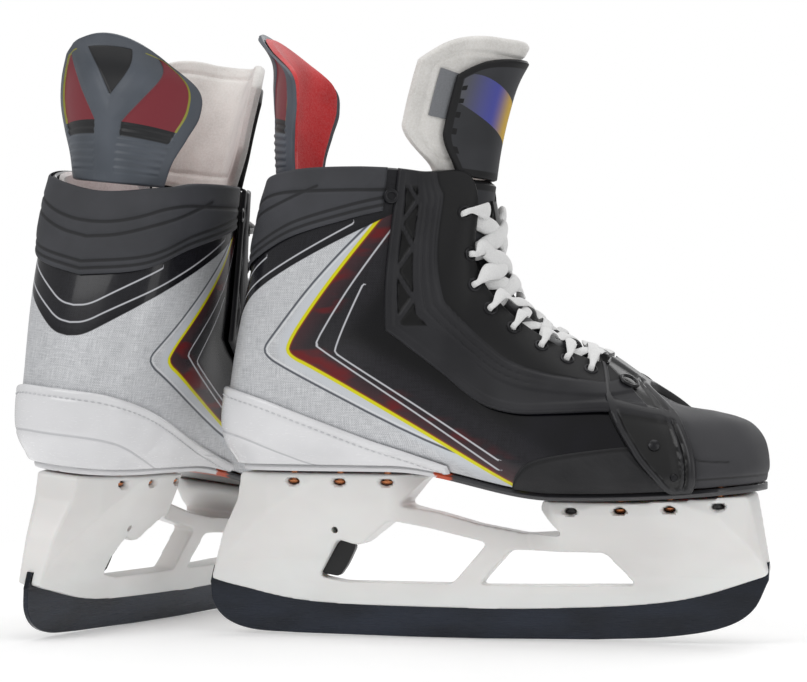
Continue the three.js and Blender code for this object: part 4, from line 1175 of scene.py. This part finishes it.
def flat_plate(name, loops, half, voxel, smoothing):
    """A plate from closed loops, the first its outline and the rest its holes, remeshed with soft edges."""
    curve = bpy.data.curves.new(name, "CURVE")
    curve.dimensions = "2D"
    curve.fill_mode = "BOTH"
    curve.extrude = half
    for loop in loops:
        spline = curve.splines.new("POLY")
        spline.points.add(len(loop) - 1)
        spline.points.foreach_set("co", [v for x, z in loop for v in (x, z, 0, 1)])
        spline.use_cyclic_u = True
    made = bpy.data.objects.new(name, curve)
    bpy.context.collection.objects.link(made)
    bpy.context.view_layer.update()
    mesh = bpy.data.meshes.new_from_object(made.evaluated_get(bpy.context.evaluated_depsgraph_get()))
    bpy.data.objects.remove(made)
    work = bmesh.new()
    work.from_mesh(mesh)
    bmesh.ops.remove_doubles(work, verts=work.verts, dist=1e-4)
    work.to_mesh(mesh)
    work.free()
    shape = bpy.data.objects.new(name, mesh)
    bpy.context.collection.objects.link(shape)
    remesh = shape.modifiers.new("remesh", "REMESH")
    remesh.mode = "VOXEL"
    remesh.voxel_size = voxel
    smoother = shape.modifiers.new("smooth", "SMOOTH")
    smoother.iterations = smoothing
    bpy.context.view_layer.update()
    final = bpy.data.meshes.new_from_object(shape.evaluated_get(bpy.context.evaluated_depsgraph_get()))
    points = np.zeros(len(final.vertices) * 3)
    final.vertices.foreach_get("co", points)
    faces = [list(polygon.vertices) for polygon in final.polygons]
    bpy.data.objects.remove(shape)
    return points.reshape(-1, 3), faces


def nylon_paint(start):
    clouds = start.noise(start.places(0.012, 0.012, 0.02), 1.0, 3)
    peel = start.noise(start.places(), 0.9, 3)
    scuffs = start.noise(start.places(0.25, 0.25, 1.4), 1.0, 4).between(0.56, 0.76)
    # painted shade: the oval pockets over the rivets are painted near black for the shadow inside them
    well = start.attribute("well").between(0.3, 0.9)
    colour = clouds.between(0.3, 0.7).mix(tone("dedcda"), tone("eae9e7"))
    return {
        "Base Color": well.mix(colour, tone("1c1917")),
        "Roughness": scuffs * 0.15 + 0.3,
        "Normal": start.bump(peel, 0.12, 0.25),
    }


holder_plastic = finish("holder_plastic", nylon_paint, {"Subsurface Weight": 0.05, "Specular IOR Level": 0.5})
rivet_rows = {
    "rear": [[40, 17], [65, 19], [90, 19]],
    "front": [[188, 25], [213, 28], [238, 28], [262, 22]],
}
holder_loops = [
    rounded_line(holder_outline, 2.5),
    rounded_line(rear_window, 3),
    rounded_line(front_window, 3),
]
plate, plate_faces = flat_plate("holder_plate", holder_loops, 10, 1.0, 4)


def prism(outline, half):
    """An object made from a side outline of [x, z] points, drawn across the skate."""
    n = len(outline)
    points = [(x, y, z) for y in (-half, half) for x, z in outline]
    faces = [list(range(n - 1, -1, -1)), list(range(n, 2 * n))]
    faces += [[i, (i + 1) % n, n + (i + 1) % n, n + i] for i in range(n)]
    mesh = bpy.data.meshes.new("prism")
    mesh.from_pydata(points, [], faces)
    work = bmesh.new()
    work.from_mesh(mesh)
    bmesh.ops.recalc_face_normals(work, faces=work.faces)
    work.to_mesh(mesh)
    work.free()
    made = bpy.data.objects.new("prism", mesh)
    bpy.context.collection.objects.link(made)
    return made


def carved(points, faces, cutters):
    """Points and faces of a solid after the cutters are taken out of it. The cutters go."""
    mesh = bpy.data.meshes.new("carved")
    mesh.from_pydata(points.tolist(), [], faces)
    solid = bpy.data.objects.new("carved", mesh)
    bpy.context.collection.objects.link(solid)
    for cutter in cutters:
        cut = solid.modifiers.new("cut", "BOOLEAN")
        cut.operation = "DIFFERENCE"
        cut.object = cutter
        cut.solver = "EXACT"
    bpy.context.view_layer.update()
    final = bpy.data.meshes.new_from_object(solid.evaluated_get(bpy.context.evaluated_depsgraph_get()))
    numbers = np.zeros(len(final.vertices) * 3)
    final.vertices.foreach_get("co", numbers)
    for item in (solid, *cutters):
        bpy.data.objects.remove(item)
    return numbers.reshape(-1, 3), [list(polygon.vertices) for polygon in final.polygons]


runner_half = 1.5
seat_depth = 6.5
groove_half = runner_half + 0.35
seat_line = smooth_blade_line + [0, seat_depth + 0.35]
groove = np.concatenate(
    [[[-40, -10], [330, -10], [330, seat_line[-1, 1]]], seat_line[::-1], [[-40, seat_line[0, 1]]]]
)
post_rooms = [
    from_holder([[low, 14], [low + 16, 14], [low + 16, 40], [low, 40]]) + [
        [-1.6, 0], [1.6, 0], [1.6, 1.6], [-1.6, 1.6],
    ]
    for low in (26, 246)
]
trigger_room = from_holder([[46, 30], [66, 30], [78, 47], [70, 54], [68, 64], [53, 64], [52, 51]])
trigger_half = 3.5
pin_spot = from_holder([[60.5, 56]])[0]
circle = np.linspace(0, math.tau, 25)[:-1]
pin_bore = pin_spot + 1.8 * np.stack([np.cos(circle), np.sin(circle)], -1)
x, z, share = plate[:, 0], plate[:, 1], plate[:, 2] / 10
half = holder_half(x, z)


def rivet_wells(x, z, on_skin):
    """One where a small oval pocket shows under the boot over a rivet, and nothing elsewhere."""
    well = np.zeros(len(x))
    for row in rivet_rows.values():
        for spot, _ in row:
            oval = np.hypot((x - spot) / 3.4, (z - (under_sole(spot) - 4.6)) / 1.9)
            well = np.maximum(well, rise((1.25 - oval) / 0.5) * on_skin)
    return well


raised = rise((z - 34) / 40)
y = share * half - np.sign(share) * rivet_wells(x, z, np.abs(share) > 0.8) * np.minimum(5, half * 0.3)
solid = np.stack([x, y + toe_swing(x) * raised, z], -1)
cutters = [prism(groove, groove_half), *[prism(room, groove_half) for room in post_rooms]]
cutters += [prism(trigger_room, trigger_half + 0.6), prism(pin_bore, 40)]
solid, solid_faces = carved(solid, plate_faces, cutters)
at_x, at_z = solid[:, 0], solid[:, 2]
middle = toe_swing(at_x) * rise((at_z - 34) / 40)
skin = np.abs(solid[:, 1] - middle) > holder_half(at_x, at_z) * 0.45
for side in stand:
    # the pockets' mask, which the holder's paint turns into painted shade
    values = {"well": rivet_wells(at_x, at_z, skin)}
    make_piece(
        "holder", side, "boot", solid, solid_faces, holder_plastic, "holder_plastic", ["holder"], values,
        50,
    )

# ---------------------------------------------------------------- rivets
# Copper rivets clamp the holder's flange to the sole, one row for each tower. Their shanks rise through the
# outsole to a thin washer strip inside the boot.
def copper_paint(start):
    fine = start.noise(start.places(), 1.4, 3)
    return {
        "Base Color": fine.mix(tone("a3613c"), tone("cf8c62")),
        "Roughness": fine * 0.2 + 0.2,
        "Normal": start.bump(fine, 0.1, 0.3),
    }


rivet_copper = finish("rivet_copper", copper_paint, {"Metallic": 0.9})
rivet_profile = [
    [0.01, -2], [1.7, -1.9], [2.9, -1.3], [3.4, -0.4], [3.4, 0], [1.9, 0], [1.9, 9.6], [0.01, 9.6],
]
strip_lift = 0.4
for side in stand:
    for name, row in rivet_rows.items():
        ends = [[row[0][0] - 3.4, row[0][1]], *row[1:-1], [row[-1][0] + 3.4, row[-1][1]]]
        grids = []
        for lift in (strip_lift + 1, strip_lift):
            grids.append(
                np.array(
                    [
                        [[e, h * (w + 3.4) + toe_swing(e), sole_height(e) + lift] for h in (-1, 1)]
                        for e, w in ends
                    ]
                )
            )
        lots = [slab(*grids)]
        for spot, wide in row:
            for hand in (-1, 1):
                foot = np.array([spot, hand * wide + toe_swing(spot), under_sole(spot) - 3.8])
                lots.append(turned_ring(foot, np.array([0.0, 0.0, 1.0]), rivet_profile, 24))
        piece = f"rivets_{name}"
        make_piece(piece, side, "boot", *joined(lots), rivet_copper, "rivet_copper", [piece])

# ---------------------------------------------------------------- runner
# A 3 mm steel blade, black coated, with bare ground flanks along its lower edge. Two posts stand up into the
# holder and the rear one is held by the trigger.
def bevelled_plate(outline, half, bevel, low_y=None):
    """Points and faces of a flat plate across the skate, its edges bevelled, from a side outline."""
    outline = np.asarray(outline, float)
    x, z = outline.T
    if np.sum(x * np.roll(z, -1) - z * np.roll(x, -1)) < 0:
        outline = outline[::-1]
    run = np.roll(outline, -1, 0) - np.roll(outline, 1, 0)
    inward = np.stack([-run[:, 1], run[:, 0]], -1) / np.maximum(np.linalg.norm(run, axis=1), 1e-6)[:, None]
    narrow = outline + inward * bevel
    near = -half if low_y is None else low_y
    rings = [(narrow, near), (outline, near + bevel), (outline, half - bevel), (narrow, half)]
    points = [(p[0], y, p[1]) for line, y in rings for p in line]
    n = len(outline)
    faces = [list(range(n)), list(range(4 * n - 1, 3 * n - 1, -1))]
    for k in range(3):
        faces += [
            [k * n + i, (k + 1) * n + i, (k + 1) * n + (i + 1) % n, k * n + (i + 1) % n] for i in range(n)
        ]
    return points, faces


def steel_paint(start):
    ground = start.noise(start.places(0.02, 0.02, 6.0), 1.0, 4)
    streaks = start.noise(start.places(0.05, 0.05, 2.5), 1.0, 3)
    clouds = start.noise(start.places(0.02, 0.02, 0.05), 1.0, 2)
    return {
        "Base Color": clouds.between(0.3, 0.7).mix(tone("161a22"), tone("222834")),
        "Roughness": streaks * 0.14 + 0.2,
        "Normal": start.bump(ground, 0.05, 0.2),
    }


blade_steel = finish(
    "blade_steel", steel_paint, {"Metallic": 0.75, "Coat Weight": 0.3, "Coat Roughness": 0.12},
)
heel_edge = through(from_holder([[-11, 27], [-9, 15], [-1, 6.5], [13, 2], [36, 0.8]]), np.linspace(0, 4, 30))
toe_edge = through(
    from_holder([[196, 0.9], [232, 3], [260, 8], [276, 17], [284.5, 33]]), np.linspace(0, 4, 30),
)
seated = (smooth_blade_line + [0, seat_depth])[::-1]
runner_line = np.concatenate([heel_edge, [[98, 0], [138, 0]], toe_edge, seated])
for side in stand:
    lots = [bevelled_plate(runner_line, runner_half, 0.35)]
    for low in (26, 246):
        post = from_holder([[low, 15], [low + 16, 15], [low + 13, 40], [low + 3, 40]])
        lots.append(bevelled_plate(post, runner_half * 0.96, 0.2))
    make_piece("runner", side, "runner_body", *joined(lots), blade_steel, "blade_steel", ["runner"], None, 20)

# ---------------------------------------------------------------- blade release
# A black nylon lever in the rear tower. It turns on a steel pin against a torsion spring, and its hooked end
# shows in the rear window of the holder.
trigger_plastic = finish(
    "trigger_plastic", plastic_paint("0c0c0e", "151517", 0.34), {"Specular IOR Level": 0.5},
)
trigger_line = rounded_line(
    from_holder([[50.6, 32.6], [60.4, 31], [64.6, 37], [69.4, 47], [65.5, 52], [64.5, 60], [57, 60], [56.3, 52.5]]), 2.2
)


def steel_pin_paint(start):
    fine = start.noise(start.places(0.5, 0.5, 4.0), 1.0, 3)
    return {"Base Color": fine.mix(tone("7d8085"), tone("a7aab0")), "Roughness": fine * 0.15 + 0.25}


pin_steel = finish("pin_steel", steel_pin_paint, {"Metallic": 1.0})


def swept(line, radius, count=8):
    """Points and faces of a round rod along a line of points, closed at both ends."""
    line = np.asarray(line, float)
    ahead = np.gradient(line, axis=0)
    ahead /= np.linalg.norm(ahead, axis=1)[:, None]
    side_way = np.cross(ahead[0], [0.28, 0.91, 0.31])
    points, faces = [], []
    for here, way in zip(line, ahead):
        side_way = side_way - way * (side_way @ way)
        side_way /= np.linalg.norm(side_way)
        other = np.cross(way, side_way)
        for k in range(count):
            turn = k * math.tau / count
            points.append(here + radius * (side_way * math.cos(turn) + other * math.sin(turn)))
    for i in range(len(line) - 1):
        for k in range(count):
            a, b = i * count + k, i * count + (k + 1) % count
            faces.append([a, b, b + count, a + count])
    faces.append(list(range(count - 1, -1, -1)))
    faces.append([(len(line) - 1) * count + k for k in range(count)])
    return points, faces


spring_wire = 0.4
for side in stand:
    lever = bevelled_plate(trigger_line, trigger_half - 1.6, 0.5, -trigger_half)
    bore = prism(pin_spot + 1.8 * np.stack([np.cos(circle), np.sin(circle)], -1), 30)
    lever = carved(np.array(lever[0]), lever[1], [bore])
    make_piece(
        "trigger", side, "trigger_body", *lever, trigger_plastic, "trigger_plastic", ["trigger"], None, 30,
    )
    spot = np.array([pin_spot[0], 0, pin_spot[1]])
    pin_profile = [[0.01, -5.9], [1.2, -5.9], [1.5, -5.6], [1.5, 5.6], [1.2, 5.9], [0.01, 5.9]]
    pin = turned_ring(spot, np.array([0.0, 1.0, 0.0]), pin_profile, 24)
    make_piece("trigger_pin", side, "boot", np.array(pin[0]), pin[1], pin_steel, "pin_steel", ["trigger_pin"])
    turns = np.linspace(0, 1.25, 60)
    coil = [
        spot + [
            2.4 * math.cos(t * math.tau), trigger_half - 1.6 + 0.75 + t * 0.84,
            2.4 * math.sin(t * math.tau),
        ]
        for t in turns
    ]
    spring = swept(coil, spring_wire)
    make_piece("trigger_spring", side, "boot", *spring, pin_steel, "pin_steel", ["trigger_spring"])

# ---------------------------------------------------------------- tongue
# Thick white felt with a charcoal cover over its ridge. The part inside the boot is sewn to the vamp, and the
# free top folds forward. The cover has a black border, a printed flash and a woven ribbon tag.
tongue_line = [[69.7, 36.5, 36], [64.8, 39.7, 38], [60.6, 43.7, 40], [57, 49, 44], [53.9, 56.6, 48],
               [51.4, 65, 52], [50.2, 74.5, 53], [49.8, 85, 53], [50.4, 95.5, 52]]
tongue_top = [[0, 0], [2.6, 0.25], [6.5, 0.5], [12, 0.75], [22, 1]]
tongue_split = len(tongue_line) - 1
tongue_height = 305
ridge_width = 40
ridge_arc = 20


def tongue_axis(at):
    """Where the tongue's front line lies in the side view, and the half angle of its ridge there."""
    at = np.asarray(at, float)
    fixed = through(tongue_line, np.clip(at, 0, tongue_split))
    x, z = fixed[..., 0] / 100 * boot_length, heel_seat + fixed[..., 1] / 100 * boot_height
    above = np.maximum(at - tongue_split, 0)
    lean = through(tongue_top, above)
    free = at > tongue_split
    x = np.where(free, x + lean[..., 0], x)
    z = np.where(free, z + (tongue_height - z) * lean[..., 1], z)
    return x, z, np.radians(fixed[..., 2])


def tongue_point(at, across, depth):
    """Depth is measured from the front face back into the boot."""
    at, across, depth = np.broadcast_arrays(*[np.asarray(v, float) for v in (at, across, depth)])
    x, z, half = tongue_axis(at)
    xa, za, _ = tongue_axis(at - 0.05)
    xb, zb, _ = tongue_axis(at + 0.05)
    long = np.hypot(xb - xa, zb - za)
    back_x, back_z = -(zb - za) / long, (xb - xa) / long
    radius = ridge_width / 2 / np.sin(half)
    girth = np.abs(across)
    turned = np.minimum(girth, radius * half) / radius
    beyond = np.maximum(0, girth - radius * half)
    y = (radius - depth) * np.sin(turned) + beyond * np.cos(half)
    into = radius - (radius - depth) * np.cos(turned) + beyond * np.sin(half)
    return np.stack([x + back_x * into, np.sign(across) * y + toe_swing(x) * 0.5, z + back_z * into], -1)


def ease(low, high, t):
    return low + (high - low) * rise(t)


cover_depth = 3
felt_depths = (cover_depth + stand_off, cover_depth + stand_off + 6)
felt_reach = {"cover": 21, "felt": 42}


def wing(at, full):
    hidden = ease(-4.5, full * 0.5, (at - 3) / 5)
    free = ease(full * 0.5, full, (at - tongue_split) / 1.2)
    return np.where(at > tongue_split, free, hidden)


def tongue_grid(span, full, count):
    rows = np.linspace(*span, count)[:, None]
    shares = np.linspace(-1, 1, 91)[None, :]
    rounding = 1.3 * shares**2 * np.maximum(0, (rows - tongue_split) / 4) ** 3
    at = rows - rounding
    return at, shares * (ridge_arc + wing(rows, full)), rows, shares


def cover_paint(start):
    fine = start.noise(start.places(), 2.2, 3)
    clouds = start.noise(start.places(0.03, 0.03, 0.03), 1.0, 2)
    base = clouds.between(0.3, 0.7).mix(tone("2c2d30"), tone("3a3b3f"))
    edge = start.attribute("edge").between(4.6, 3.8)
    colour = edge.mix(base, tone("131315"))
    flash = start.attribute("flash")
    film = start.attribute("blend")
    shine = film.between(0.0, 0.35).mix(tone("55565c"), tone("4b4fa0"))
    shine = film.between(0.3, 0.55).mix(shine, tone("c9a32e"))
    shine = film.between(0.6, 1.0).mix(shine, tone("c23a1c"))
    colour = flash.between(0.4, 0.6).mix(colour, shine)
    # painted shade: the slots are not cut, only painted near black for the shade inside their openings
    slots = start.attribute("slots").between(0.4, 0.6)
    colour = slots.mix(colour, tone("08080a"))
    return {"Base Color": colour, "Roughness": fine * 0.18 + 0.4, "Normal": start.bump(fine, 0.12, 0.5)}


tongue_leather = finish("tongue_leather", cover_paint, {"Specular IOR Level": 0.3})
tongue_felt = finish(
    "tongue_felt", brushed_paint("d5d2cd", "e8e5e0"), {"Sheen Weight": 0.5, "Sheen Roughness": 0.5},
)
slot_share = 1.2 / 32
spans = {"": (0.1, tongue_split - slot_share), "_top": (tongue_split + slot_share, tongue_split + 3.6)}
felt_spans = {"": spans[""], "_top": (tongue_split + slot_share, tongue_split + 4)}
for side in stand:
    for word, body in (("", "boot"), ("_top", "tongue_top_body")):
        for kind, (near, far) in (("cover", (0, cover_depth)), ("felt", felt_depths)):
            span = spans[word] if kind == "cover" else felt_spans[word]
            at, across, rows, shares = tongue_grid(span, felt_reach[kind], 100)
            middle = (near + far) / 2
            flat = tongue_point(at, across, middle)
            border = from_border(flat)
            swell = rounded(border, 2.6 if kind == "felt" else 1.4)
            stitch = 0 * border
            if kind == "felt" and word:
                stitch = grooved(np.abs(border - 9), 1.3, 0.9)
            thick = (far - near) / 2 * swell
            front = tongue_point(at, across, middle - np.maximum(thick + stitch, 0.05))
            rear = tongue_point(at, across, middle + np.maximum(thick + stitch, 0.05))
            points, faces = slab(front, rear)
            double = lambda v: np.concatenate([np.broadcast_to(v, border.shape).ravel()] * 2)
            rise_share = np.clip((rows - tongue_split) / 3.6, 0, 1)
            slanted = rise_share * 1.25 + shares * 0.35
            values = {"edge": double(border)}
            if kind == "cover":
                flash = rise((slanted - 0.42) / 0.03) * rise((0.86 - slanted) / 0.03) * rise(
                    (border - 4.4) / 0.5
                )
                values["flash"] = double(flash * (1 if word else 0))
                values["blend"] = double(np.clip((shares + 0.9) / 1.6, 0, 1))
                # marks of the slots, which the cover's paint turns into painted shade
                spots = np.abs((rows - tongue_split) % 0.5 - 0.25) < 0.09
                band = (np.abs(shares + 0.86) < 0.03) & (rise_share > 0.15) & (rise_share < 0.8) & spots
                values["slots"] = double(band.astype(float) if word else 0 * border)
            slot_name = "tongue_leather" if kind == "cover" else "tongue_felt"
            material = tongue_leather if kind == "cover" else tongue_felt
            name = f"tongue{word}_{kind}"
            made = make_piece(name, side, body, points, faces, material, slot_name, [name], values)

# ---------------------------------------------------------------- tongue tag and lace loop
# A blank woven ribbon tag sewn to the outer shoulder of the felt, and a short black webbing loop on the front
# of the tongue that keeps the lace from sliding aside.
def ribbon_paint(dark, light):
    def paint(start):
        weave = start.noise(start.places(1.2, 1.2, 1.2), 1.0, 2)
        return {"Base Color": weave.mix(tone(dark), tone(light)), "Roughness": weave * 0.1 + 0.75}

    return paint


tag_cloth = finish("tag_cloth", ribbon_paint("6c6e72", "85878b"), {"Sheen Weight": 0.3})
loop_cloth = finish("loop_cloth", ribbon_paint("0e0e10", "1c1c1f"), {"Sheen Weight": 0.3})
for side in stand:
    rows = tongue_split + np.linspace(1.5, 2.7, 20)[:, None]
    reach = np.linspace(-50, -30, 20)[None, :]
    grids = [tongue_point(rows, reach, depth) for depth in (felt_depths[0] - 1.2, felt_depths[0] - 0.4)]
    make_piece("tongue_tag", side, "tongue_top_body", *slab(*grids), tag_cloth, "tongue_felt")
    rows = np.linspace(6.0, 7.4, 30)[:, None]
    reach = np.linspace(-4.5, 4.5, 9)[None, :]
    lift = 2.2 * np.sin(np.linspace(0, math.pi, 30))[:, None] + 0.2
    grids = [tongue_point(rows, reach, -(lift + depth)) for depth in (1.0, 0.0)]
    make_piece("lace_loop", side, "boot", *slab(*grids), loop_cloth, "tongue_leather")

# ---------------------------------------------------------------- tendon guard
# A moulded guard hinged over the back of the collar. It flares to its tip, and its outside has a raised Y
# with sunk panels beside it and ribs across its neck. The inside is lined with bright red felt.
guard_plate, guard_lining_thickness = 2.6, 3.2
guard_height, guard_base, guard_width = 316, 238.5, 90


def guard_point(level, across, depth):
    level, across, depth = np.broadcast_arrays(*[np.asarray(v, float) for v in (level, across, depth)])
    read = lambda values: through(values, level * (len(values) - 1))
    back = read([25.5, 25, 25, 25.5, 25, 16])
    half = read([0.66, 0.74, 0.88, 1, 0.98, 0.7]) * guard_width / 2
    bend = np.radians(read([58, 55, 52, 50, 46, 42]))
    radius = half / np.sin(bend)
    angle = across * bend
    z = guard_base + (guard_height - guard_base) * level - 12 * level * across**2
    return np.stack(
        [back + radius - (radius - depth) * np.cos(angle), (radius - depth) * np.sin(angle), z], -1,
    )


def guard_paint(start):
    fine = start.noise(start.places(), 1.8, 3)
    clouds = start.noise(start.places(0.03, 0.03, 0.03), 1.0, 2)
    colour = clouds.between(0.3, 0.7).mix(tone("464c54"), tone("565c65"))
    sunk = start.attribute("sunk").between(0.35, 0.7)
    pick = start.attribute("pick")
    inlay = pick.between(0.9, 1.1).mix(tone("16171a"), tone("7c2630"))
    rim = start.attribute("rim").between(0.4, 0.7)
    colour = sunk.mix(colour, inlay)
    colour = (rim * pick.between(0.9, 1.1)).mix(colour, tone("8c8a2e"))
    return {"Base Color": colour, "Roughness": fine * 0.15 + 0.36, "Normal": start.bump(fine, 0.1, 0.4)}


guard_plastic = finish("guard_plastic", guard_paint, {"Specular IOR Level": 0.5})
guard_felt = finish(
    "guard_felt", brushed_paint("c4161c", "da2126", 0.05), {"Sheen Weight": 0.4, "Sheen Roughness": 0.5},
)
for side in stand:
    levels = np.linspace(0, 1, 150)[:, None]
    across = np.linspace(-1, 1, 150)[None, :]
    flat = guard_point(levels, across, guard_plate)
    border = from_border(flat)
    fork = np.clip((levels - 0.42) / 0.58, 0, 1) * 0.62
    arm = np.where(levels > 0.42, np.abs(np.abs(across) - fork), np.abs(across))
    ridge = np.exp(-((arm / 0.13) ** 4))
    panels = (rise((arm - 0.17) / 0.03) * rise((border - 7) / 1.2) * rise((levels - 0.3) / 0.05))
    neck = rise((0.42 - levels) / 0.04) * rise((border - 5) / 1.5) * rise((np.abs(across) - 0.16) / 0.03)
    ribs = np.cos(levels * 62 * 2) * neck
    body = 0.72 + 0.28 * ridge - 0.38 * panels + 0.12 * ribs
    height = np.maximum(rounded(border, 1.4) * guard_plate * body, 0.05)
    outer = guard_point(levels, across, guard_plate - height)
    double = lambda v: np.concatenate([np.broadcast_to(v, border.shape).ravel()] * 2)
    rim = np.exp(-(((border - 7.6) / 0.7) ** 2)) * (levels > 0.4)
    side_panel = (np.abs(across) > fork) & (levels > 0.42)
    values = {"sunk": double(panels), "rim": double(rim * side_panel), "pick": double(side_panel * 1.2)}
    plate_mesh = slab(outer, flat)
    make_piece(
        "tendon_guard", side, "tendon_guard_body", *plate_mesh, guard_plastic, "guard_plastic",
        ["tendon_guard"], values,
    )
    near = guard_plate + stand_off
    levels = np.linspace(0.03, 0.97, 100)[:, None]
    across = np.linspace(-0.94, 0.94, 90)[None, :]
    flat = guard_point(levels, across, near)
    height = np.maximum(rounded(from_border(flat), 1.8) * guard_lining_thickness, 0.05)
    face = guard_point(levels, across, near + height)
    make_piece(
        "guard_lining", side, "tendon_guard_body", *slab(flat, face), guard_felt, "guard_lining",
        ["guard_lining"],
    )

# ---------------------------------------------------------------- lace
# One flat woven white lace. It comes over the edge of each facing, goes down through an eyelet, runs back
# under the facing and crosses the tongue. The upper crossings are loose, so the strands bunch into rounded
# bundles.
lace_width, lace_pinched, lace_thickness = 7, 3.2, 1.5
facing_over = facing_lift + facing_thickness + 1.7 + lace_thickness / 2
facing_under = facing_lift - 1.3 - lace_thickness / 2
at_tongue = np.linspace(0, tongue_split, 161)
tongue_front = tongue_point(at_tongue, 0, 0)


def tongue_beside(station):
    edge = quarter_point(station, 4, 0)
    return at_tongue[np.argmin(np.hypot(tongue_front[:, 0] - edge[0], tongue_front[:, 2] - edge[2]))]


def lace_path():
    """The lace's middle line, its width, and the way the facing's edge runs at each of its points."""
    path = []
    top_level = 4

    def thread(hand, i):
        edge, hole, station = eyelets[i]
        for level, depth, width in (
            (top_level + 0.05, facing_over + 1.3, lace_width * 0.85),
            (hole + 0.07, facing_over, lace_pinched),
            (hole - 0.02, facing_over - 0.7, lace_pinched),
            (hole - 0.02, facing_under + 0.4, lace_pinched),
            (hole + 0.08, facing_under, lace_pinched),
            (top_level + 0.02, facing_under - 0.5, lace_width * 0.7),
        ):
            s = edge if level > top_level else station + (edge - station) * (
                (level - hole) / (top_level - hole)
            )
            path.append((quarter_point(hand * s, level, depth), width, hand * edge))

    def cross(i, j, hand, layer):
        start, end = eyelets[i][0], eyelets[j][0]
        low = 1.4
        crest = low + layer * (lace_thickness + 0.6)
        high = low + lace_thickness + 1.8
        for share, across, lift in (
            (0.08, 19, low + 0.2),
            (0.2, 14, low),
            (0.35, 7, low + (crest - low) * 0.6),
            (0.5, 0, crest),
            (0.65, -7, crest + (high - crest) * 0.6),
            (0.8, -14, high),
        ):
            s = start + (end - start) * share
            point = tongue_point(tongue_beside(s), hand * across, -(lift + lace_thickness / 2))
            path.append((point, lace_width * 0.85, s))

    last = len(eyelets) - 1
    hand = -1
    for i in range(last + 1):
        thread(hand, i)
        cross(i, min(last, i + 1), hand, 0)
        hand = -hand
    for i in range(last, -1, -1):
        thread(hand, i)
        if i:
            cross(i, i - 1, hand, 1)
        hand = -hand
    return path


def woven(start):
    """Flat braid, seen as fine uneven knots of thread."""
    knots = start.noise(start.places(1.4, 1.4, 1.4), 1.0, 2)
    return {
        "Base Color": knots.mix(tone("d9d9d9"), tone("f4f4f3")),
        "Roughness": knots * 0.1 + 0.8,
        "Normal": start.bump(knots, 0.4, 0.6),
    }


lace_cotton = finish("lace_cotton", woven, {"Sheen Weight": 0.4})


def lace_strap(path, bundle):
    """A rounded strap through the path. Where it is loose it is thicker, by bundle times its thickness."""
    middles = np.array([p for p, _, _ in path])
    widths = np.array([w for _, w, _ in path])
    throats = np.array([edge_run(s) * [1, 0, 1] for _, _, s in path])
    heights = np.array([p[2] for p, _, _ in path])
    loose = np.array([0.0 if w == lace_pinched else 1.0 for _, w, _ in path]) * rise((heights - 172) / 22)
    at = np.linspace(0, len(path) - 1, (len(path) - 1) * 5 + 1)
    thick = lace_thickness * (1 + bundle * np.clip(through(loose, at), 0, 1))
    line = through(middles, at)
    wide = np.maximum(through(widths, at), lace_pinched * 0.8) + thick - lace_thickness
    edge_ways = through(throats, at)
    ahead = np.gradient(line, axis=0)
    ahead /= np.linalg.norm(ahead, axis=1)[:, None]
    flat_way = edge_ways - ahead * np.sum(edge_ways * ahead, 1)[:, None]
    flat_way /= np.linalg.norm(flat_way, axis=1)[:, None]
    up = np.cross(flat_way, ahead)
    turns = np.linspace(0, math.tau, 15)[:-1]
    squash = np.stack([np.cos(turns), np.sin(turns) * (0.8 + 0.2 * np.abs(np.sin(turns)))], -1)
    rings = (
        line[:, None]
        + flat_way[:, None] * (squash[None, :, :1] * wide[:, None, None] / 2)
        + up[:, None] * (squash[None, :, 1:] * thick[:, None, None] / 2)
    )
    count = len(turns)
    faces = []
    for i in range(len(line) - 1):
        for k in range(count):
            a, b = i * count + k, i * count + (k + 1) % count
            faces.append([a, a + count, b + count, b])
    faces.append(list(range(count)))
    faces.append([(len(line) - 1) * count + k for k in range(count - 1, -1, -1)])
    return rings.reshape(-1, 3), faces


for side in stand:
    strap = lace_strap(lace_path(), 2.4)
    make_piece("lace", side, "boot", *strap, lace_cotton, "lace_cotton", ["lace"], None, 60)
